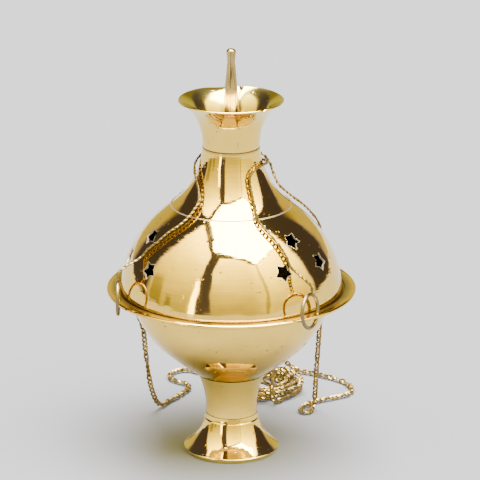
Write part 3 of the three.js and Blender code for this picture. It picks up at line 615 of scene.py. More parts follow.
POLISHED = brass_material(
    "polished brass", (0.95, 0.64, 0.105), (0.20, 0.125, 0.06), 0.03,
    Tarnish=0.13, Lines=1.6, Dents=1.3, Pits=0.9,
)
SPIKE_BRASS = brass_material(
    "streaked brass", (0.50, 0.37, 0.13), (0.11, 0.07, 0.035), 0.09,
    Tarnish=0.35, Lines=0.2, Dents=0.6, Pits=0.6, Streaks=1.0,
)
PLAIN = brass_material(
    "plain brass", (0.62, 0.42, 0.16), (0.10, 0.06, 0.03), 0.28,
    Tarnish=0.5, Lines=1.0, Dents=0.3, Pits=0.6,
)
SOOTED = brass_material(
    "sooted brass", (0.20, 0.145, 0.08), (0.02, 0.017, 0.014), 0.45,
    Tarnish=0.95, Lines=0.6, Dents=0.6, Pits=1.0,
)
LINK_BRASS = brass_material(
    "chain brass", (0.30, 0.215, 0.07), (0.07, 0.045, 0.018), 0.27,
    Tarnish=0.8, Dents=0.2, Pits=0.3,
)
# Painted shade: a darker copy of the chain brass for the links that lie over the lid, which belong to the same chains
# as the falls.
LID_LINK_BRASS = brass_material(
    "tarnished chain brass", (0.21, 0.165, 0.075), (0.06, 0.045, 0.024), 0.3,
    Tarnish=0.9, Dents=0.2, Pits=0.3,
)
RING_BRASS = brass_material(
    "tarnished ring brass", (0.25, 0.195, 0.10), (0.08, 0.06, 0.03), 0.22,
    Tarnish=0.8, Dents=0.4, Pits=0.6,
)
SOLDER = brass_material(
    "solder", (0.66, 0.56, 0.46), (0.36, 0.27, 0.2), 0.25,
    Tarnish=0.6, Dents=0.6, Pits=0.8,
)
# Dark brass for the thin seam ring where the mouth meets the neck.
GRIME = brass_material(
    "dark seam", (0.13, 0.075, 0.03), (0.035, 0.022, 0.012), 0.35,
    Tarnish=0.9, Dents=0.6, Pits=0.5,
)


# Turned pieces, whose outlines are points [radius, height] in millimetres

SHEET = 1.2  # thickness of the spun sheet
FUNNEL_SHEET = 1.0
# Sides to a turn, for pieces of different widths
SLIM = 64
ROUND = 160
WIDE = 256
FINE = 320
LEAST_STEP = 0.05  # between two points of an outline, where one is cut off
CORNER_POINTS = 5
SHARP_EDGE = math.radians(32)
WELD_WITHIN = 1e-7
SLIVER = 1e-8


def bezier(start, leave, arrive, end, count):
    """A smooth stretch of outline that leaves its start and arrives at its end along the pulls."""
    p0, p3 = np.array(start, float), np.array(end, float)
    p1, p2 = p0 + leave, p3 + arrive
    t = np.linspace(0, 1, count)[:, None]
    return (1 - t) ** 3 * p0 + 3 * (1 - t) ** 2 * t * p1 + 3 * (1 - t) * t * t * p2 + t ** 3 * p3


def inset(outline, sheet):
    """The outline moved in by the thickness of its sheet, along its own normals."""
    run = np.gradient(outline, axis=0)
    run /= np.linalg.norm(run, axis=1, keepdims=True)
    return outline + sheet * np.stack([-run[:, 1], run[:, 0]], 1)


def trimmed(outline, low, high):
    """The outline between two heights, with a level end at each."""
    r, z = outline[:, 0], outline[:, 1]
    keep = (z > low + LEAST_STEP) & (z < high - LEAST_STEP)
    ends = np.interp([low, high], z, r)
    return np.vstack([[ends[0], low], outline[keep], [ends[1], high]])


def rounded(corner, before, after, radius):
    """A rounded corner between the directions of the points before and after it."""
    corner, before, after = (np.array(p, float) for p in (corner, before, after))
    a = corner + unit(before - corner) * radius
    b = corner + unit(after - corner) * radius
    t = np.linspace(0, 1, CORNER_POINTS)[:, None]
    return (1 - t) ** 2 * a + 2 * (1 - t) * t * corner + t ** 2 * b


def engraved(outline, height, half, depth):
    """The outline with a rounded groove at a height."""
    z = outline[:, 1]
    r = outline[:, 0] - depth * np.exp(-((z - height) / half) ** 4)
    return np.stack([r, z], 1)


def parts_of(*stretches):
    """One outline from stretches of points with their blackening, and the blackening of each of its points."""
    points = [np.asarray(p, float).reshape(-1, 2) for p, _ in stretches]
    soots = [np.full(len(p), soot) for p, (_, soot) in zip(points, stretches)]
    return np.vstack(points), np.concatenate(soots)


def heights(node):
    """The lowest and the highest point of a node."""
    low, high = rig.box(node)
    return low[2] / MM, high[2] / MM


def turned_points(outline, segments):
    """Every outline point carried round the z axis, in metres."""
    outline = np.asarray(outline, float) * MM
    a = np.linspace(0, 2 * np.pi, segments, endpoint=False)
    r = outline[:, 0][:, None]
    z = np.broadcast_to(outline[:, 1][:, None], (len(outline), segments))
    return np.stack([r * np.cos(a), r * np.sin(a), z], -1)


def mark(piece, name, values):
    """A value for each point of a piece, which its finish reads by name."""
    layer = piece.data.attributes.new(name, "FLOAT", "POINT")
    layer.data.foreach_set("value", np.asarray(values, np.float32).ravel())


def turned_piece(name, outline, segments, material, body, nodes, slot="polished_brass", shape=None,
                 **marks):
    """A turned solid that takes its nodes' place: its closed outline runs up outside, down inside.

    A shape may move its points, and a mark is a value for each point of the outline, or for each
    point of the whole grid.
    """
    outline = np.asarray(outline, float)
    points = turned_points(outline, segments)
    if shape:
        points = shape(points)
    rows = len(outline)
    piece = mesh_piece(name, points, wrapped_faces(rows, segments)[:, ::-1])
    for effect, values in marks.items():
        values = np.asarray(values, float)
        if values.ndim == 1:
            values = values[:, None]
        mark(piece, effect, np.broadcast_to(values, (rows, segments)))
    finish(piece, material, body, slot, *nodes)


def paint(piece, material):
    """One finish for the whole piece."""
    piece.data.materials.clear()
    piece.data.materials.append(material)


def finish(piece, material, body, slot, *nodes, weld=True):
    """Weld, sharpen the hard edges, paint, and set the piece on its body in its nodes' place."""
    if weld:
        shape = bmesh.new()
        shape.from_mesh(piece.data)
        bmesh.ops.remove_doubles(shape, verts=shape.verts, dist=WELD_WITHIN)
        bmesh.ops.dissolve_degenerate(shape, edges=shape.edges, dist=SLIVER)
        bmesh.ops.recalc_face_normals(shape, faces=shape.faces)
        for edge in shape.edges:
            if len(edge.link_faces) == 2 and edge.calc_face_angle(0) > SHARP_EDGE:
                edge.smooth = False
        shape.to_mesh(piece.data)
        shape.free()
    paint(piece, material)
    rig.slot(piece, slot)
    if nodes:
        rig.replaces(piece, *nodes)
    if body:
        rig.ride(piece, body)


# Foot
FOOT_TOP_RADIUS = 15.8
FOOT_LIP_RADIUS = 28.95
FOOT_REST_RADIUS = 28.1
FOOT_LIP_MIDDLE = 2.3
FOOT_LIP_TOP = 2.8
FOOT_GROOVE_DROP = 3.05
FOOT_GROOVE_HALF = 0.3
FOOT_GROOVE_DEPTH = 0.28
# Painted reflection colour: height of the paler band up from the rest, and how far it fades.
FOOT_PALE_TOP = 7
FOOT_PALE_FADE = 5


def make_foot():
    """The foot's shell: rest, rolled lip, flared outside with a turned line, and inside."""
    top = heights("foot")[1]
    line = bezier(
        [FOOT_LIP_RADIUS - 0.25, FOOT_LIP_TOP], [-6.4, 5.1], [1.95, -11.7], [FOOT_TOP_RADIUS, top], 120
    )
    outside = engraved(line, top - FOOT_GROOVE_DROP, FOOT_GROOVE_HALF, FOOT_GROOVE_DEPTH)
    inner = inset(line, SHEET)
    inner = trimmed(inner, inner[0, 1], top)[::-1]
    lip_middle = [FOOT_LIP_RADIUS, FOOT_LIP_MIDDLE]
    lip = bezier([FOOT_REST_RADIUS, 0.25], [0.25, 0.7], [0.1, -0.9], lip_middle, 8)
    over_middle = [FOOT_LIP_RADIUS, FOOT_LIP_MIDDLE + 0.1]
    shoulder = bezier(over_middle, [0, 0.15], [0.1, -0.1], outside[0], 5)[:-1]
    bottom = [[FOOT_REST_RADIUS - 1.4, 0], [FOOT_REST_RADIUS - 0.25, 0]]
    # Painted shade: darker on the rest and inside the hollow foot, and a little on the lip by the table.
    outline, soot = parts_of((bottom, 0.5), (lip, 0.1), (shoulder, 0.0), (outside, 0.0), (inner, 0.7))
    # Painted reflection colour: paler towards the rest.
    pale = np.clip((FOOT_PALE_TOP - outline[:, 1]) / FOOT_PALE_FADE, 0, 1)
    turned_piece("foot_shell", outline, ROUND, POLISHED, "root", ["foot"], soot=soot, pale=pale)


# Stem
STEM_FOOT_RADIUS = 15.6
STEM_TOP_RADIUS = 20.9
# Painted reflection colour: paler brass in the upper part under the bowl, and how far it fades.
STEM_PALE = 0.6
STEM_PALE_FADE = 6


def make_stem():
    """The stem's shell, paler in its upper part by a painted reflection colour, with painted shade inside."""
    low, high = heights("stem")
    outside = bezier([STEM_FOOT_RADIUS, low], [-0.68, 8.74], [-4.07, -7.77], [STEM_TOP_RADIUS, high], 60)
    inner = trimmed(inset(outside, SHEET), low, high)[::-1]
    # Painted shade inside the hollow stem.
    outline, soot = parts_of((outside, 0.0), (inner, 0.7))
    # Painted reflection colour: paler towards the top.
    pale = np.clip((outline[:, 1] - high + STEM_PALE_FADE) / STEM_PALE_FADE, 0, 1) * STEM_PALE
    turned_piece("stem_shell", outline, ROUND, POLISHED, "root", ["stem"], soot=soot, pale=pale)


# Bowl
BOLT_HOLE_RADIUS = 3.4
BOWL_TOP_RADIUS = 61.3
BOWL_TOP_INNER_RADIUS = 60.1
WALL_TOP_DROP = 3.2  # from the flange's top to the top of the wall
FLANGE_RADIUS = 75
FLANGE_SHEET = 1.1
CHANNEL_RADIUS = 68.4
BEAD_WIRE = 1.15  # radius of the bead round the flange
BEAD_RISE = 0.4  # above the flange
# Painted reflection colour: height of the paler band up from the bowl's base, and how far it fades.
BOWL_PALE_TOP = 11
BOWL_PALE_FADE = 8
BOWL_BASE, FLANGE_HEIGHT = heights("bowl")
FLANGE_HEIGHT -= BEAD_RISE
# Radius and painted shade of points across the flange's top, and the painted shade of its edge down to the channel
FLANGE_TOP = [(72.6, 0.12), (71.4, 0.5), (70.2, 0.82), (69.3, 0.88)]
CHANNEL_EDGE_SOOT = [0.88, 0.9, 0.92, 0.94, 0.95]


def make_bowl():
    """The bowl's shell: wall, ledge, the channel that the lid stands in, flange and bead."""
    base, top = BOWL_BASE, FLANGE_HEIGHT
    under = top - FLANGE_SHEET
    ledge = under - FLANGE_SHEET
    channel, outer_channel = CHANNEL_RADIUS, CHANNEL_RADIUS + 1.1
    wall_top = top - WALL_TOP_DROP
    wall = bezier([STEM_TOP_RADIUS, base], [19.62, 13.87], [-5.46, -25.04], [BOWL_TOP_RADIUS, wall_top], 90)
    inner = trimmed(inset(wall, SHEET), base + SHEET, wall_top)[::-1]
    middle = np.array([FLANGE_RADIUS - BEAD_WIRE, top + BEAD_RISE - BEAD_WIRE])
    start = math.pi + math.asin((middle[1] - under) / BEAD_WIRE)
    end = math.pi * 3 - math.asin((top - middle[1]) / BEAD_WIRE)
    angle = np.linspace(start, end, 26)
    bead = middle + BEAD_WIRE * np.stack([np.cos(angle), np.sin(angle)], 1)
    # Smoke-blackening inside the bowl and in the channel under the lid; painted shade across the flange's top, darker
    # towards the lid, and down the channel's edge in the gap round the lid's foot.
    outline, soot = parts_of(
        ([[BOLT_HOLE_RADIUS, base]], 0.0),
        (wall, 0.0),
        (rounded([61.9, ledge], wall[-1], [65, ledge], 0.9), 0.0),
        (rounded([outer_channel, ledge], [65, ledge], [channel + 2.2, under], 0.5), 0.0),
        (rounded([channel + 2.2, under], [outer_channel, ledge], [73, under], 0.5), 0.0),
        (bead, 0.0),
        ([[radius, top] for radius, _ in FLANGE_TOP], [dark for _, dark in FLANGE_TOP]),
        (rounded([channel, top], [71, top], [channel, under], 0.5), CHANNEL_EDGE_SOOT),
        (rounded([channel, under], [channel, top], [65, under], 0.3), 0.95),
        (rounded([BOWL_TOP_INNER_RADIUS, under], [63, under], [BOWL_TOP_INNER_RADIUS, wall_top], 0.5), 0.9),
        (inner, 0.85),
        ([[BOLT_HOLE_RADIUS, base + SHEET]], 0.85),
    )
    # Painted reflection colour: paler towards the base.
    pale = np.clip((base + BOWL_PALE_TOP - outline[:, 1]) / BOWL_PALE_FADE, 0, 1)
    turned_piece("bowl_shell", outline, WIDE, POLISHED, "root", ["bowl"], soot=soot, pale=pale)


# Dome
LID_FOOT_RADIUS = 67.2
LID_FOOT_INNER_RADIUS = 66.0
DOME_TOP_RADIUS = 36
# The azimuth of each group of stars, and the heights of its upper and its lower stars
STAR_GROUPS = [(46.2, 40.4, 26), (-67.4, 38.6, 23), (167, 39.5, 24.5)]
STAR_SPREAD = 15  # degrees from the upper star to each lower one
STAR_RADIUS = 5.8
STAR_INNER_RADIUS = 3.6
STAR_DEPTH = 5
STAR_UNEVEN = 0.22  # how far a hand-cut corner strays
STAR_CORNERS = 10
LID_FOOT_DARK = 2.0  # how high the painted shade climbs from the lid's foot
LID_FOOT_SOOT = 0.9
INSIDE_SOOT = 0.95
TURNED_WITHIN = math.radians(9)  # of the turned outline's normal


def star_cutter(line, azimuth, height, hand):
    """A ten-cornered prism square to the dome: radii by turns to its tips and between them."""
    r = np.interp([height - 1, height, height + 1], line[:, 1], line[:, 0])
    a = math.radians(azimuth)
    level_out = np.array([math.sin(a), -math.cos(a), 0])
    out = unit(level_out + np.array([0, 0, -(r[2] - r[0]) / 2]))
    level = unit(np.cross([0, 0, 1.0], out))
    up = np.cross(out, level)
    corner = np.arange(STAR_CORNERS)
    angle = -np.pi / 2 + corner * 2 * np.pi / STAR_CORNERS
    reach = np.where(corner % 2 == 0, STAR_RADIUS, STAR_INNER_RADIUS)[:, None]
    reach = reach + hand.normal(0, STAR_UNEVEN, (STAR_CORNERS, 1))
    flat = reach * (np.cos(angle)[:, None] * level + np.sin(angle)[:, None] * up)
    middle = level_out * r[1] + np.array([0, 0, height])
    front, back = middle + flat + out * STAR_DEPTH, middle + flat - out * STAR_DEPTH
    shape = bmesh.new()
    rings = [[shape.verts.new(point * MM) for point in ring] for ring in (front, back)]
    shape.faces.new(rings[0])
    shape.faces.new(rings[1][::-1])
    for k in range(STAR_CORNERS):
        n = (k + 1) % STAR_CORNERS
        shape.faces.new([rings[0][k], rings[1][k], rings[1][n], rings[0][n]])
    bmesh.ops.recalc_face_normals(shape, faces=shape.faces)
    mesh = bpy.data.meshes.new("star_cutter")
    shape.to_mesh(mesh)
    shape.free()
    return mesh


def cut_through(piece, cutters):
    """The piece with the cutters taken out of it."""
    joined = bmesh.new()
    for mesh in cutters:
        joined.from_mesh(mesh)
        bpy.data.meshes.remove(mesh)
    mesh = bpy.data.meshes.new("cutters")
    joined.to_mesh(mesh)
    joined.free()
    cutter = placed("cutters", mesh)
    cut = piece.modifiers.new("cut", "BOOLEAN")
    cut.operation = "DIFFERENCE"
    cut.solver = "EXACT"
    cut.object = cutter
    shaped = bpy.data.meshes.new_from_object(piece.evaluated_get(bpy.context.evaluated_depsgraph_get()))
    piece.modifiers.clear()
    piece.data = shaped
    bpy.data.objects.remove(cutter)


def values_of(items, name, width, kind):
    """What every item of a mesh has under a name, in one array."""
    values = np.empty(len(items) * width, kind)
    items.foreach_get(name, values)
    return values


def smooth_as_turned(piece, outside, inside):
    """Normals straight from the turned outlines, and flat ones on what is cut through them.

    A corner's normal is the outline's own normal at the corner's height, turned to its azimuth,
    wherever its face lies within a few degrees of it. Smoke-blackening is laid on the points nearer
    the inside, painted shade on a band along the lid's foot, and the walls of what is cut through are
    marked as cut.
    """
    mesh = piece.data
    points = values_of(mesh.vertices, "co", 3, np.float32).reshape(-1, 3) / MM
    radius = np.hypot(points[:, 0], points[:, 1])
    sides = []
    for outline, sign in ((outside, 1), (inside, -1)):
        run = np.gradient(outline, axis=0)
        slope = unit(np.stack([run[:, 1], -run[:, 0]], 1)) * sign
        z = outline[:, 1]
        n = np.stack([np.interp(points[:, 2], z, slope[:, k]) for k in range(2)], 1)
        off = np.abs(radius - np.interp(points[:, 2], z, outline[:, 0]))
        turned = np.stack([n[:, 0] * points[:, 0] / radius, n[:, 0] * points[:, 1] / radius, n[:, 1]], 1)
        sides.append((turned, off))
    corners = values_of(mesh.loops, "vertex_index", 1, np.int32)
    sizes = values_of(mesh.polygons, "loop_total", 1, np.int32)
    faces = values_of(mesh.polygons, "normal", 3, np.float32).reshape(-1, 3)
    flat = np.repeat(faces, sizes, axis=0)
    normals = flat.copy()
    for turned, _ in sides:
        near = (turned[corners] * flat).sum(1) > math.cos(TURNED_WITHIN)
        normals[near] = turned[corners][near]
    mesh.normals_split_custom_set(normals.tolist())
    walls = (np.abs(normals - flat).max(1) == 0) & (points[corners, 2] > outside[0, 1] + 1)
    cut = np.zeros(len(points))
    cut[corners[walls]] = 1.0
    mark(piece, "cut", cut)
    # Painted shade: darker in a band along the lid's foot, where it stands in the channel.
    foot = np.clip(1 - (points[:, 2] - outside[0, 1]) / LID_FOOT_DARK, 0, 1) * LID_FOOT_SOOT
    nearer_inside = sides[1][1] < sides[0][1]
    mark(piece, "soot", np.where(cut > 0, 0, np.where(nearer_inside, INSIDE_SOOT, foot)))


def make_dome():
    """The dome's shell with its stars cut through."""
    low, high = heights("lid_dome")
    line = bezier([LID_FOOT_RADIUS, low], [-2.51, 22.65], [18.19, -13.38], [DOME_TOP_RADIUS, high], 110)
    inner = inset(line, SHEET)
    wall = np.vstack([inner[inner[:, 1] > low + LEAST_STEP][::-1], [[LID_FOOT_INNER_RADIUS, low]]])
    outline = np.vstack([line, wall])
    piece = mesh_piece(
        "dome_shell", turned_points(outline, WIDE), wrapped_faces(len(outline), WIDE)[:, ::-1]
    )
    cutters = []
    hand = np.random.default_rng(3)
    for azimuth, upper, lower in STAR_GROUPS:
        cutters.append(star_cutter(line, azimuth, low + upper, hand))
        cutters.append(star_cutter(line, azimuth - STAR_SPREAD, low + lower, hand))
        cutters.append(star_cutter(line, azimuth + STAR_SPREAD, low + lower, hand))
    cut_through(piece, cutters)
    smooth_as_turned(piece, line, wall[::-1])
    finish(piece, POLISHED, "lid", "polished_brass", "lid_dome", weld=False)


# Neck
NECK_FOOT_RADIUS = 35.75
NECK_TOP_RADIUS = 17.1
NECK_FOOT_RISE = 0.25  # above the dome
NECK_TOP_DROP = 0.3  # below the mouth
NECK_COLLAR_RADIUS = 15.7
NECK_SPIGOT_RADIUS = 34.2
SHOULDER_HEIGHT = heights("lid_dome")[1]
MOUTH_FOOT_HEIGHT = heights("mouth_funnel")[0]


def make_neck():
    """The neck's shell, with a collar inside the mouth and a spigot inside the dome."""
    low, high = SHOULDER_HEIGHT + NECK_FOOT_RISE, MOUTH_FOOT_HEIGHT - NECK_TOP_DROP
    spigot_foot, collar_top = heights("lid_neck")
    collar, spigot = NECK_COLLAR_RADIUS, NECK_SPIGOT_RADIUS
    line = bezier([NECK_FOOT_RADIUS, low], [-11.75, 9.24], [1.52, -14.71], [NECK_TOP_RADIUS, high], 90)
    inner = inset(line, SHEET)
    wall = inner[(inner[:, 0] < spigot - SHEET) & (inner[:, 1] < high - SHEET)][::-1]
    outline, soot = parts_of(
        (line[:-3], 0.0),
        # Painted shade on the neck's top, just under the mouth's foot.
        (line[-3:], 0.3),
        ([[collar, high], [collar, collar_top], [collar - SHEET, collar_top]], 0.5),
        ([[collar - SHEET, high - SHEET]], 0.9),
        (wall, 0.9),
        ([[spigot - SHEET, wall[-1, 1] - 0.4], [spigot - SHEET, spigot_foot]], 0.9),
        ([[spigot, spigot_foot], [spigot, inner[0, 1]]], 0.3),
        (inner[:1], 0.3),
    )
    turned_piece("neck_shell", outline, WIDE, POLISHED, "lid", ["lid_neck"], soot=soot)


# Mouth
MOUTH_RADIUS = 31.3
MOUTH_HEIGHT = 27.8  # of its outside
MOUTH_FOOT_INNER_RADIUS = 16.1
RIM_BULGE = 0.35
RIM_GIVE = 3.5  # how far down from the rim a hurt reaches
# Painted reflection colour: depth of the paler band down from the rim, and how far it fades.
MOUTH_PALE_DROP = 13
MOUTH_PALE_FADE = 7
# Each hurt of the rim: its direction from +x, half its width, both in degrees, and its depth
RIM_HURTS = [(104, 13, 0.9), (78.5, 1.3, 1.1), (-53, 2.2, 0.75), (196, 16, 0.35), (20, 20, 0.3)]
CRACK_AT = 78.5
CRACK_HALF = 0.75
CRACK_DEPTH = 8


def make_funnel():
    """The flared mouth, its rim pushed down in a dent, a crack and a nick, each a bell curve."""
    low, high = heights("mouth_funnel")
    line = bezier(
        [NECK_TOP_RADIUS, low], [0, 11.6], [-10.53, -5.97], [MOUTH_RADIUS, low + MOUTH_HEIGHT], 90
    )
    inner = inset(line, FUNNEL_SHEET)
    last, last_inner = line[-1], inner[-1]
    out = unit(last - line[-2])
    t = np.linspace(0, np.pi, 9)[1:-1, None]
    rim = (last + last_inner) / 2 + (last - last_inner) / 2 * np.cos(t) + out * RIM_BULGE * np.sin(t)
    outline, soot = parts_of(
        (line, 0.0), (rim, 0.0), (inner[1:][::-1], 0.3), ([[MOUTH_FOOT_INNER_RADIUS, low]], 0.4)
    )
    degrees = np.arange(FINE) * 360 / FINE

    def off(at):
        return (degrees - at + 180) % 360 - 180

    def hurt(points):
        near_rim = np.clip((points[:, :1, 2] / MM - high + RIM_GIVE) / RIM_GIVE, 0, 1) ** 2
        down = sum(depth * np.exp(-(off(at) / half) ** 2) for at, half, depth in RIM_HURTS)
        points[:, :, 2] -= near_rim * down[None] * MM
        return points

    soot = np.repeat(soot[:, None], FINE, axis=1)
    # Painted shade of the crack: a dark line down the inside of the mouth below it, carried in the soot mask.
    inside = np.arange(len(outline))[:, None] >= len(line) + 3
    deep = (outline[:, 1] > high - CRACK_DEPTH)[:, None]
    crack = np.exp(-(off(CRACK_AT) / CRACK_HALF) ** 4)[None] * deep * inside
    soot = np.maximum(soot, crack)
    # Painted reflection colour: paler towards the rim.
    pale = np.clip((outline[:, 1] - high + MOUTH_PALE_DROP) / MOUTH_PALE_FADE, 0, 1)
    turned_piece(
        "funnel_shell", outline, FINE, POLISHED, "lid", ["mouth_funnel"], shape=hurt, soot=soot, pale=pale
    )


# Spike
SPIKE_HEIGHT = 55.2  # above its seat
SPIKE_SEAT_RADIUS = 6
SPIKE_SHANK_RADIUS = 1.9
SPIKE_FOOT_RADIUS = 5.1
SPIKE_WAIST_RADIUS = 2.3
SPIKE_KNOB_RADIUS = 2.85


def make_spike():
    """The spike: a shank under its seat, a tapered shaft, and a knob at the tip."""
    bottom, tip = heights("spike")
    base = tip - SPIKE_HEIGHT
    foot, waist, knob = SPIKE_FOOT_RADIUS, SPIKE_WAIST_RADIUS, SPIKE_KNOB_RADIUS
    seat, shank = SPIKE_SEAT_RADIUS, SPIKE_SHANK_RADIUS
    shaft = bezier([foot, base + 2.2], [-0.1, 20], [0.9, -9], [waist, tip - 8.4], 50)
    swell = bezier([waist, tip - 8.2], [0.1, 3.4], [-0.05, -1.6], [knob, tip - 2.2], 12)
    crown = bezier([knob, tip - 2.0], [0.1, 1.2], [1.6, 0], [0, tip], 14)
    outline = np.vstack([
        [[0, bottom], [shank - 0.2, bottom], [shank, bottom + 0.3], [shank, base], [seat, base]],
        rounded([seat, base + 1.2], [seat, base], [foot, base + 1.2], 0.4),
        [[foot + 0.15, base + 1.25]], shaft, swell, crown,
    ])
    turned_piece("spike_pin", outline, SLIM, SPIKE_BRASS, "lid", ["spike"])


def make_seam(name, material, middle, half_size):
    """A thin line round the lid, with an oval section."""
    t = np.linspace(0, 2 * np.pi, 12, endpoint=False)
    oval = np.array(middle) + np.stack([np.cos(t), np.sin(t)], 1) * half_size
    turned_piece(name, oval, WIDE, material, "lid", [], slot="plain_brass")


# Rings
RING_RADIUS = 9.9
RING_WIRE = 1.1
RING_STEPS = 96
RING_SIDES = 14
RING_HOLE_CIRCLE = 71
RING_HOLE_DROP = 0.55  # from the flange's top to the middle of its sheet
# Each ring: the azimuth of its hole, the level direction from there to its middle, how far the
# middle lies above the hole, and its tilt in degrees
RINGS = {
    "right": {"azimuth": 45.5, "along": (-0.47, -0.883), "rise": 4.25, "tilt": -5.0},
    "left": {"azimuth": -70.5, "along": (0.0, -1.0), "rise": 4.25, "tilt": 0.0},
    "back": {"azimuth": 167.0, "along": (0.999, -0.044), "rise": -4.45, "tilt": 0.0},
}


def wire_ring(node, body, middle, along, up):
    """A ring of round wire in the plane of two directions, in place of a node."""
    t = np.linspace(0, 2 * np.pi, RING_STEPS, endpoint=False)[:, None, None]
    s = np.linspace(0, 2 * np.pi, RING_SIDES, endpoint=False)[None, :, None]
    out = along * np.cos(t) + up * np.sin(t)
    flat = np.cross(along, up)
    points = middle + out * (RING_RADIUS + RING_WIRE * np.cos(s)) + flat * RING_WIRE * np.sin(s)
    piece = mesh_piece(f"{node}_wire", points * MM, wrapped_faces(RING_STEPS, RING_SIDES))
    finish(piece, RING_BRASS, body, "chain_brass", node)
    return piece


def make_ring(side, azimuth, along, rise, tilt):
    """A flange ring, upright in its hole but for its tilt."""
    a, tilt = math.radians(azimuth), math.radians(tilt)
    height = FLANGE_HEIGHT - RING_HOLE_DROP
    hole = np.array([RING_HOLE_CIRCLE * math.sin(a), -RING_HOLE_CIRCLE * math.cos(a), height])
    along = np.array([*along, 0.0])
    along /= np.linalg.norm(along)
    flat = np.cross([0, 0, 1.0], along)
    up = np.array([0, 0, 1.0]) * math.cos(tilt) + flat * math.sin(tilt)
    middle = hole + along * math.sqrt(RING_RADIUS ** 2 - rise ** 2) + up * rise
    wire_ring(f"{side}_ring", f"{side}_ring_body", middle, along, up)


# Chains in place

ON_EDGE = {
    "faces_towards": off_the_lid, "twist": LID_LINK_TWIST, "wire": LID_LINK_WIRE,
    "wobble": LID_LINK_WOBBLE, "hook": LINK_HOOK,
}
FREE = {
    "faces_towards": towards_eye_or_up, "twist": LINK_TWIST, "wire": LINK_WIRE,
    "wobble": LINK_WOBBLE, "hook": LINK_END,
}
FREE_FROM_RING = {**FREE, "hook": LINK_HOOK}


def make_chains():
    """The runs of chain, and the ring that they end on, flat on the table inside the heap."""
    right, away, _ = np.eye(3)
    top = wire_ring("top_ring", "root", np.array([*HEAP_MIDDLE, RING_WIRE]), right, away)
    # Seed, name, route, lay, nodes, the two bodies, the span from one to the other, end, fittings
    plan = [
        (0, "right_chain_lid", RIGHT_OVER_LID, ON_EDGE, ["right_chain_over_lid"], ("root", "lid"),
         (RIGHT_OVER_LID[0], RIGHT_OVER_LID[4]), "object", ()),
        (1, "left_chain_lid", LEFT_OVER_LID, ON_EDGE, ["left_chain_over_lid"], ("root", "lid"),
         (LEFT_OVER_LID[0], LEFT_OVER_LID[4]), "object", ()),
        (2, "right_chain_drop", RIGHT_FALL, FREE, ["right_chain_fall"], ("lid", "root"),
         ([-52, 47, 104], [-52, 47, 10]), "fitting", (top,)),
        (3, "left_chain_drop", LEFT_FALL, FREE, ["left_chain_fall"], ("lid", "root"),
         ([50, 49, 104], [50, 49, 10]), "fitting", (top,)),
        (9, "back_chain", BACK_FALL + heap_points() + BACK_END, FREE_FROM_RING,
         ["back_chain_fall", "back_chain_heap", "back_chain_end"], ("back_ring_body", "root"),
         ([24.9, 68.8, 88], [24.9, 68.8, 75]), "fitting", (top,)),
    ]
    for seed, name, route, lay, nodes, bodies, span, far_end, fittings in plan:
        piece, line, length = chain_piece(name, route, **lay, seed=seed)
        finish(piece, LID_LINK_BRASS if lay is ON_EDGE else LINK_BRASS, None, "chain_brass", *nodes)
        start, end = ([c * MM for c in point] for point in span)
        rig.blend(piece, *bodies, start, end)
        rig.cord(
            piece, exit=tuple(line[0]), length=length, diameter=CHAIN_WIDTH, far_end=far_end,
            stiffness="limp", lay="loose", path=line[::4].tolist(), with_pieces=fittings,
        )


make_chains()
make_foot()
make_stem()
make_bowl()
make_dome()
make_neck()
make_funnel()
make_spike()
make_seam("shoulder_solder", SOLDER, [35.95, SHOULDER_HEIGHT + 0.1], [0.3, 0.4])
make_seam("mouth_seam", GRIME, [16.95, MOUTH_FOOT_HEIGHT - 0.15], [0.32, 0.5])
for side, place in RINGS.items():
    make_ring(side, **place)

for node in ("tie_bolt", "clamp_washer", "tie_nut", "spike_seat_plate", "spike_nut"):
    paint(frame["nodes"][node], PLAIN)
paint(frame["nodes"]["charcoal_pan"], SOOTED)


# Studio: a light floor, and a white tent with dark gaps round the burner

FLOOR_HALF = 6.0
FLOOR_ROUGHNESS = 0.9
FLOOR_SPECULAR = 0.2
FLOOR_PAPER = (0.1463, 0.1517, 0.1761)  # makes the light of walls and box together look grey
WALL = 0.97  # light of the walls at the height of the burner
WALL_GROWTH = 0.0375  # how fast it grows, for each degree of height
WALL_GROWTH_RANGE = (-5.0, 62.0)
WALL_COLOR = (1.0, 0.874, 0.2)
BOX = 45  # light of the box overhead
BOX_COLOR = (1.0, 0.97, 0.95)
GAP = 0.075
GAP_COLOR = (1.0, 0.86, 1.7)
STAND = 0.13
STAND_SHINE = 14  # a bright strip down one side of the stand
REAR = 0.85
REAR_TOP = 0.3
SEAM_DARK = 0.55
STRIPES_DARK = 0.5
# Where each change begins and ends, in degrees to the right of the front or of height
WALL_LIFTS = [((-32.0, -14.0), 0.1), ((22.0, 40.0), 0.6)]  # and how much light each adds
GAP_START = (94.0, 100.0)
BACK_WALL_START = (135.0, 143.0)
REAR_DIM = (20.0, 32.0)
# Both edges of each upright form and their softness, and where its foot and its top fade
SEAM = (33.4, 37.2, 0.9)
STRIPES = [((-92.0, -78.0, 2.0), (14.0, 20.0)), ((-72.0, -64.0, 1.5), (6.0, 11.0))]
STAND_SHAPE = ((-39.0, -21.5, 1.2), (-3.0, 1.0), (64.0, 68.0))
SHINE_SHAPE = ((-44.5, -38.5, 0.7), (-8.0, -2.0), (26.0, 30.0))
# The box overhead, as seen on a level plane one unit up: the place of each of its edges
BOX_LEFT = 0.33
BOX_FRONT = (0.588, 0.294)
BOX_BACK = (0.393, 0.616)
BOX_CORNER = (0.8385, 0.385)
BOX_FRAME = 0.11
BOX_THIN_FRAME = 0.04
BOX_SOFTNESS = 0.02
OVERHEAD_START = (0.05, 0.1)  # of the direction's z


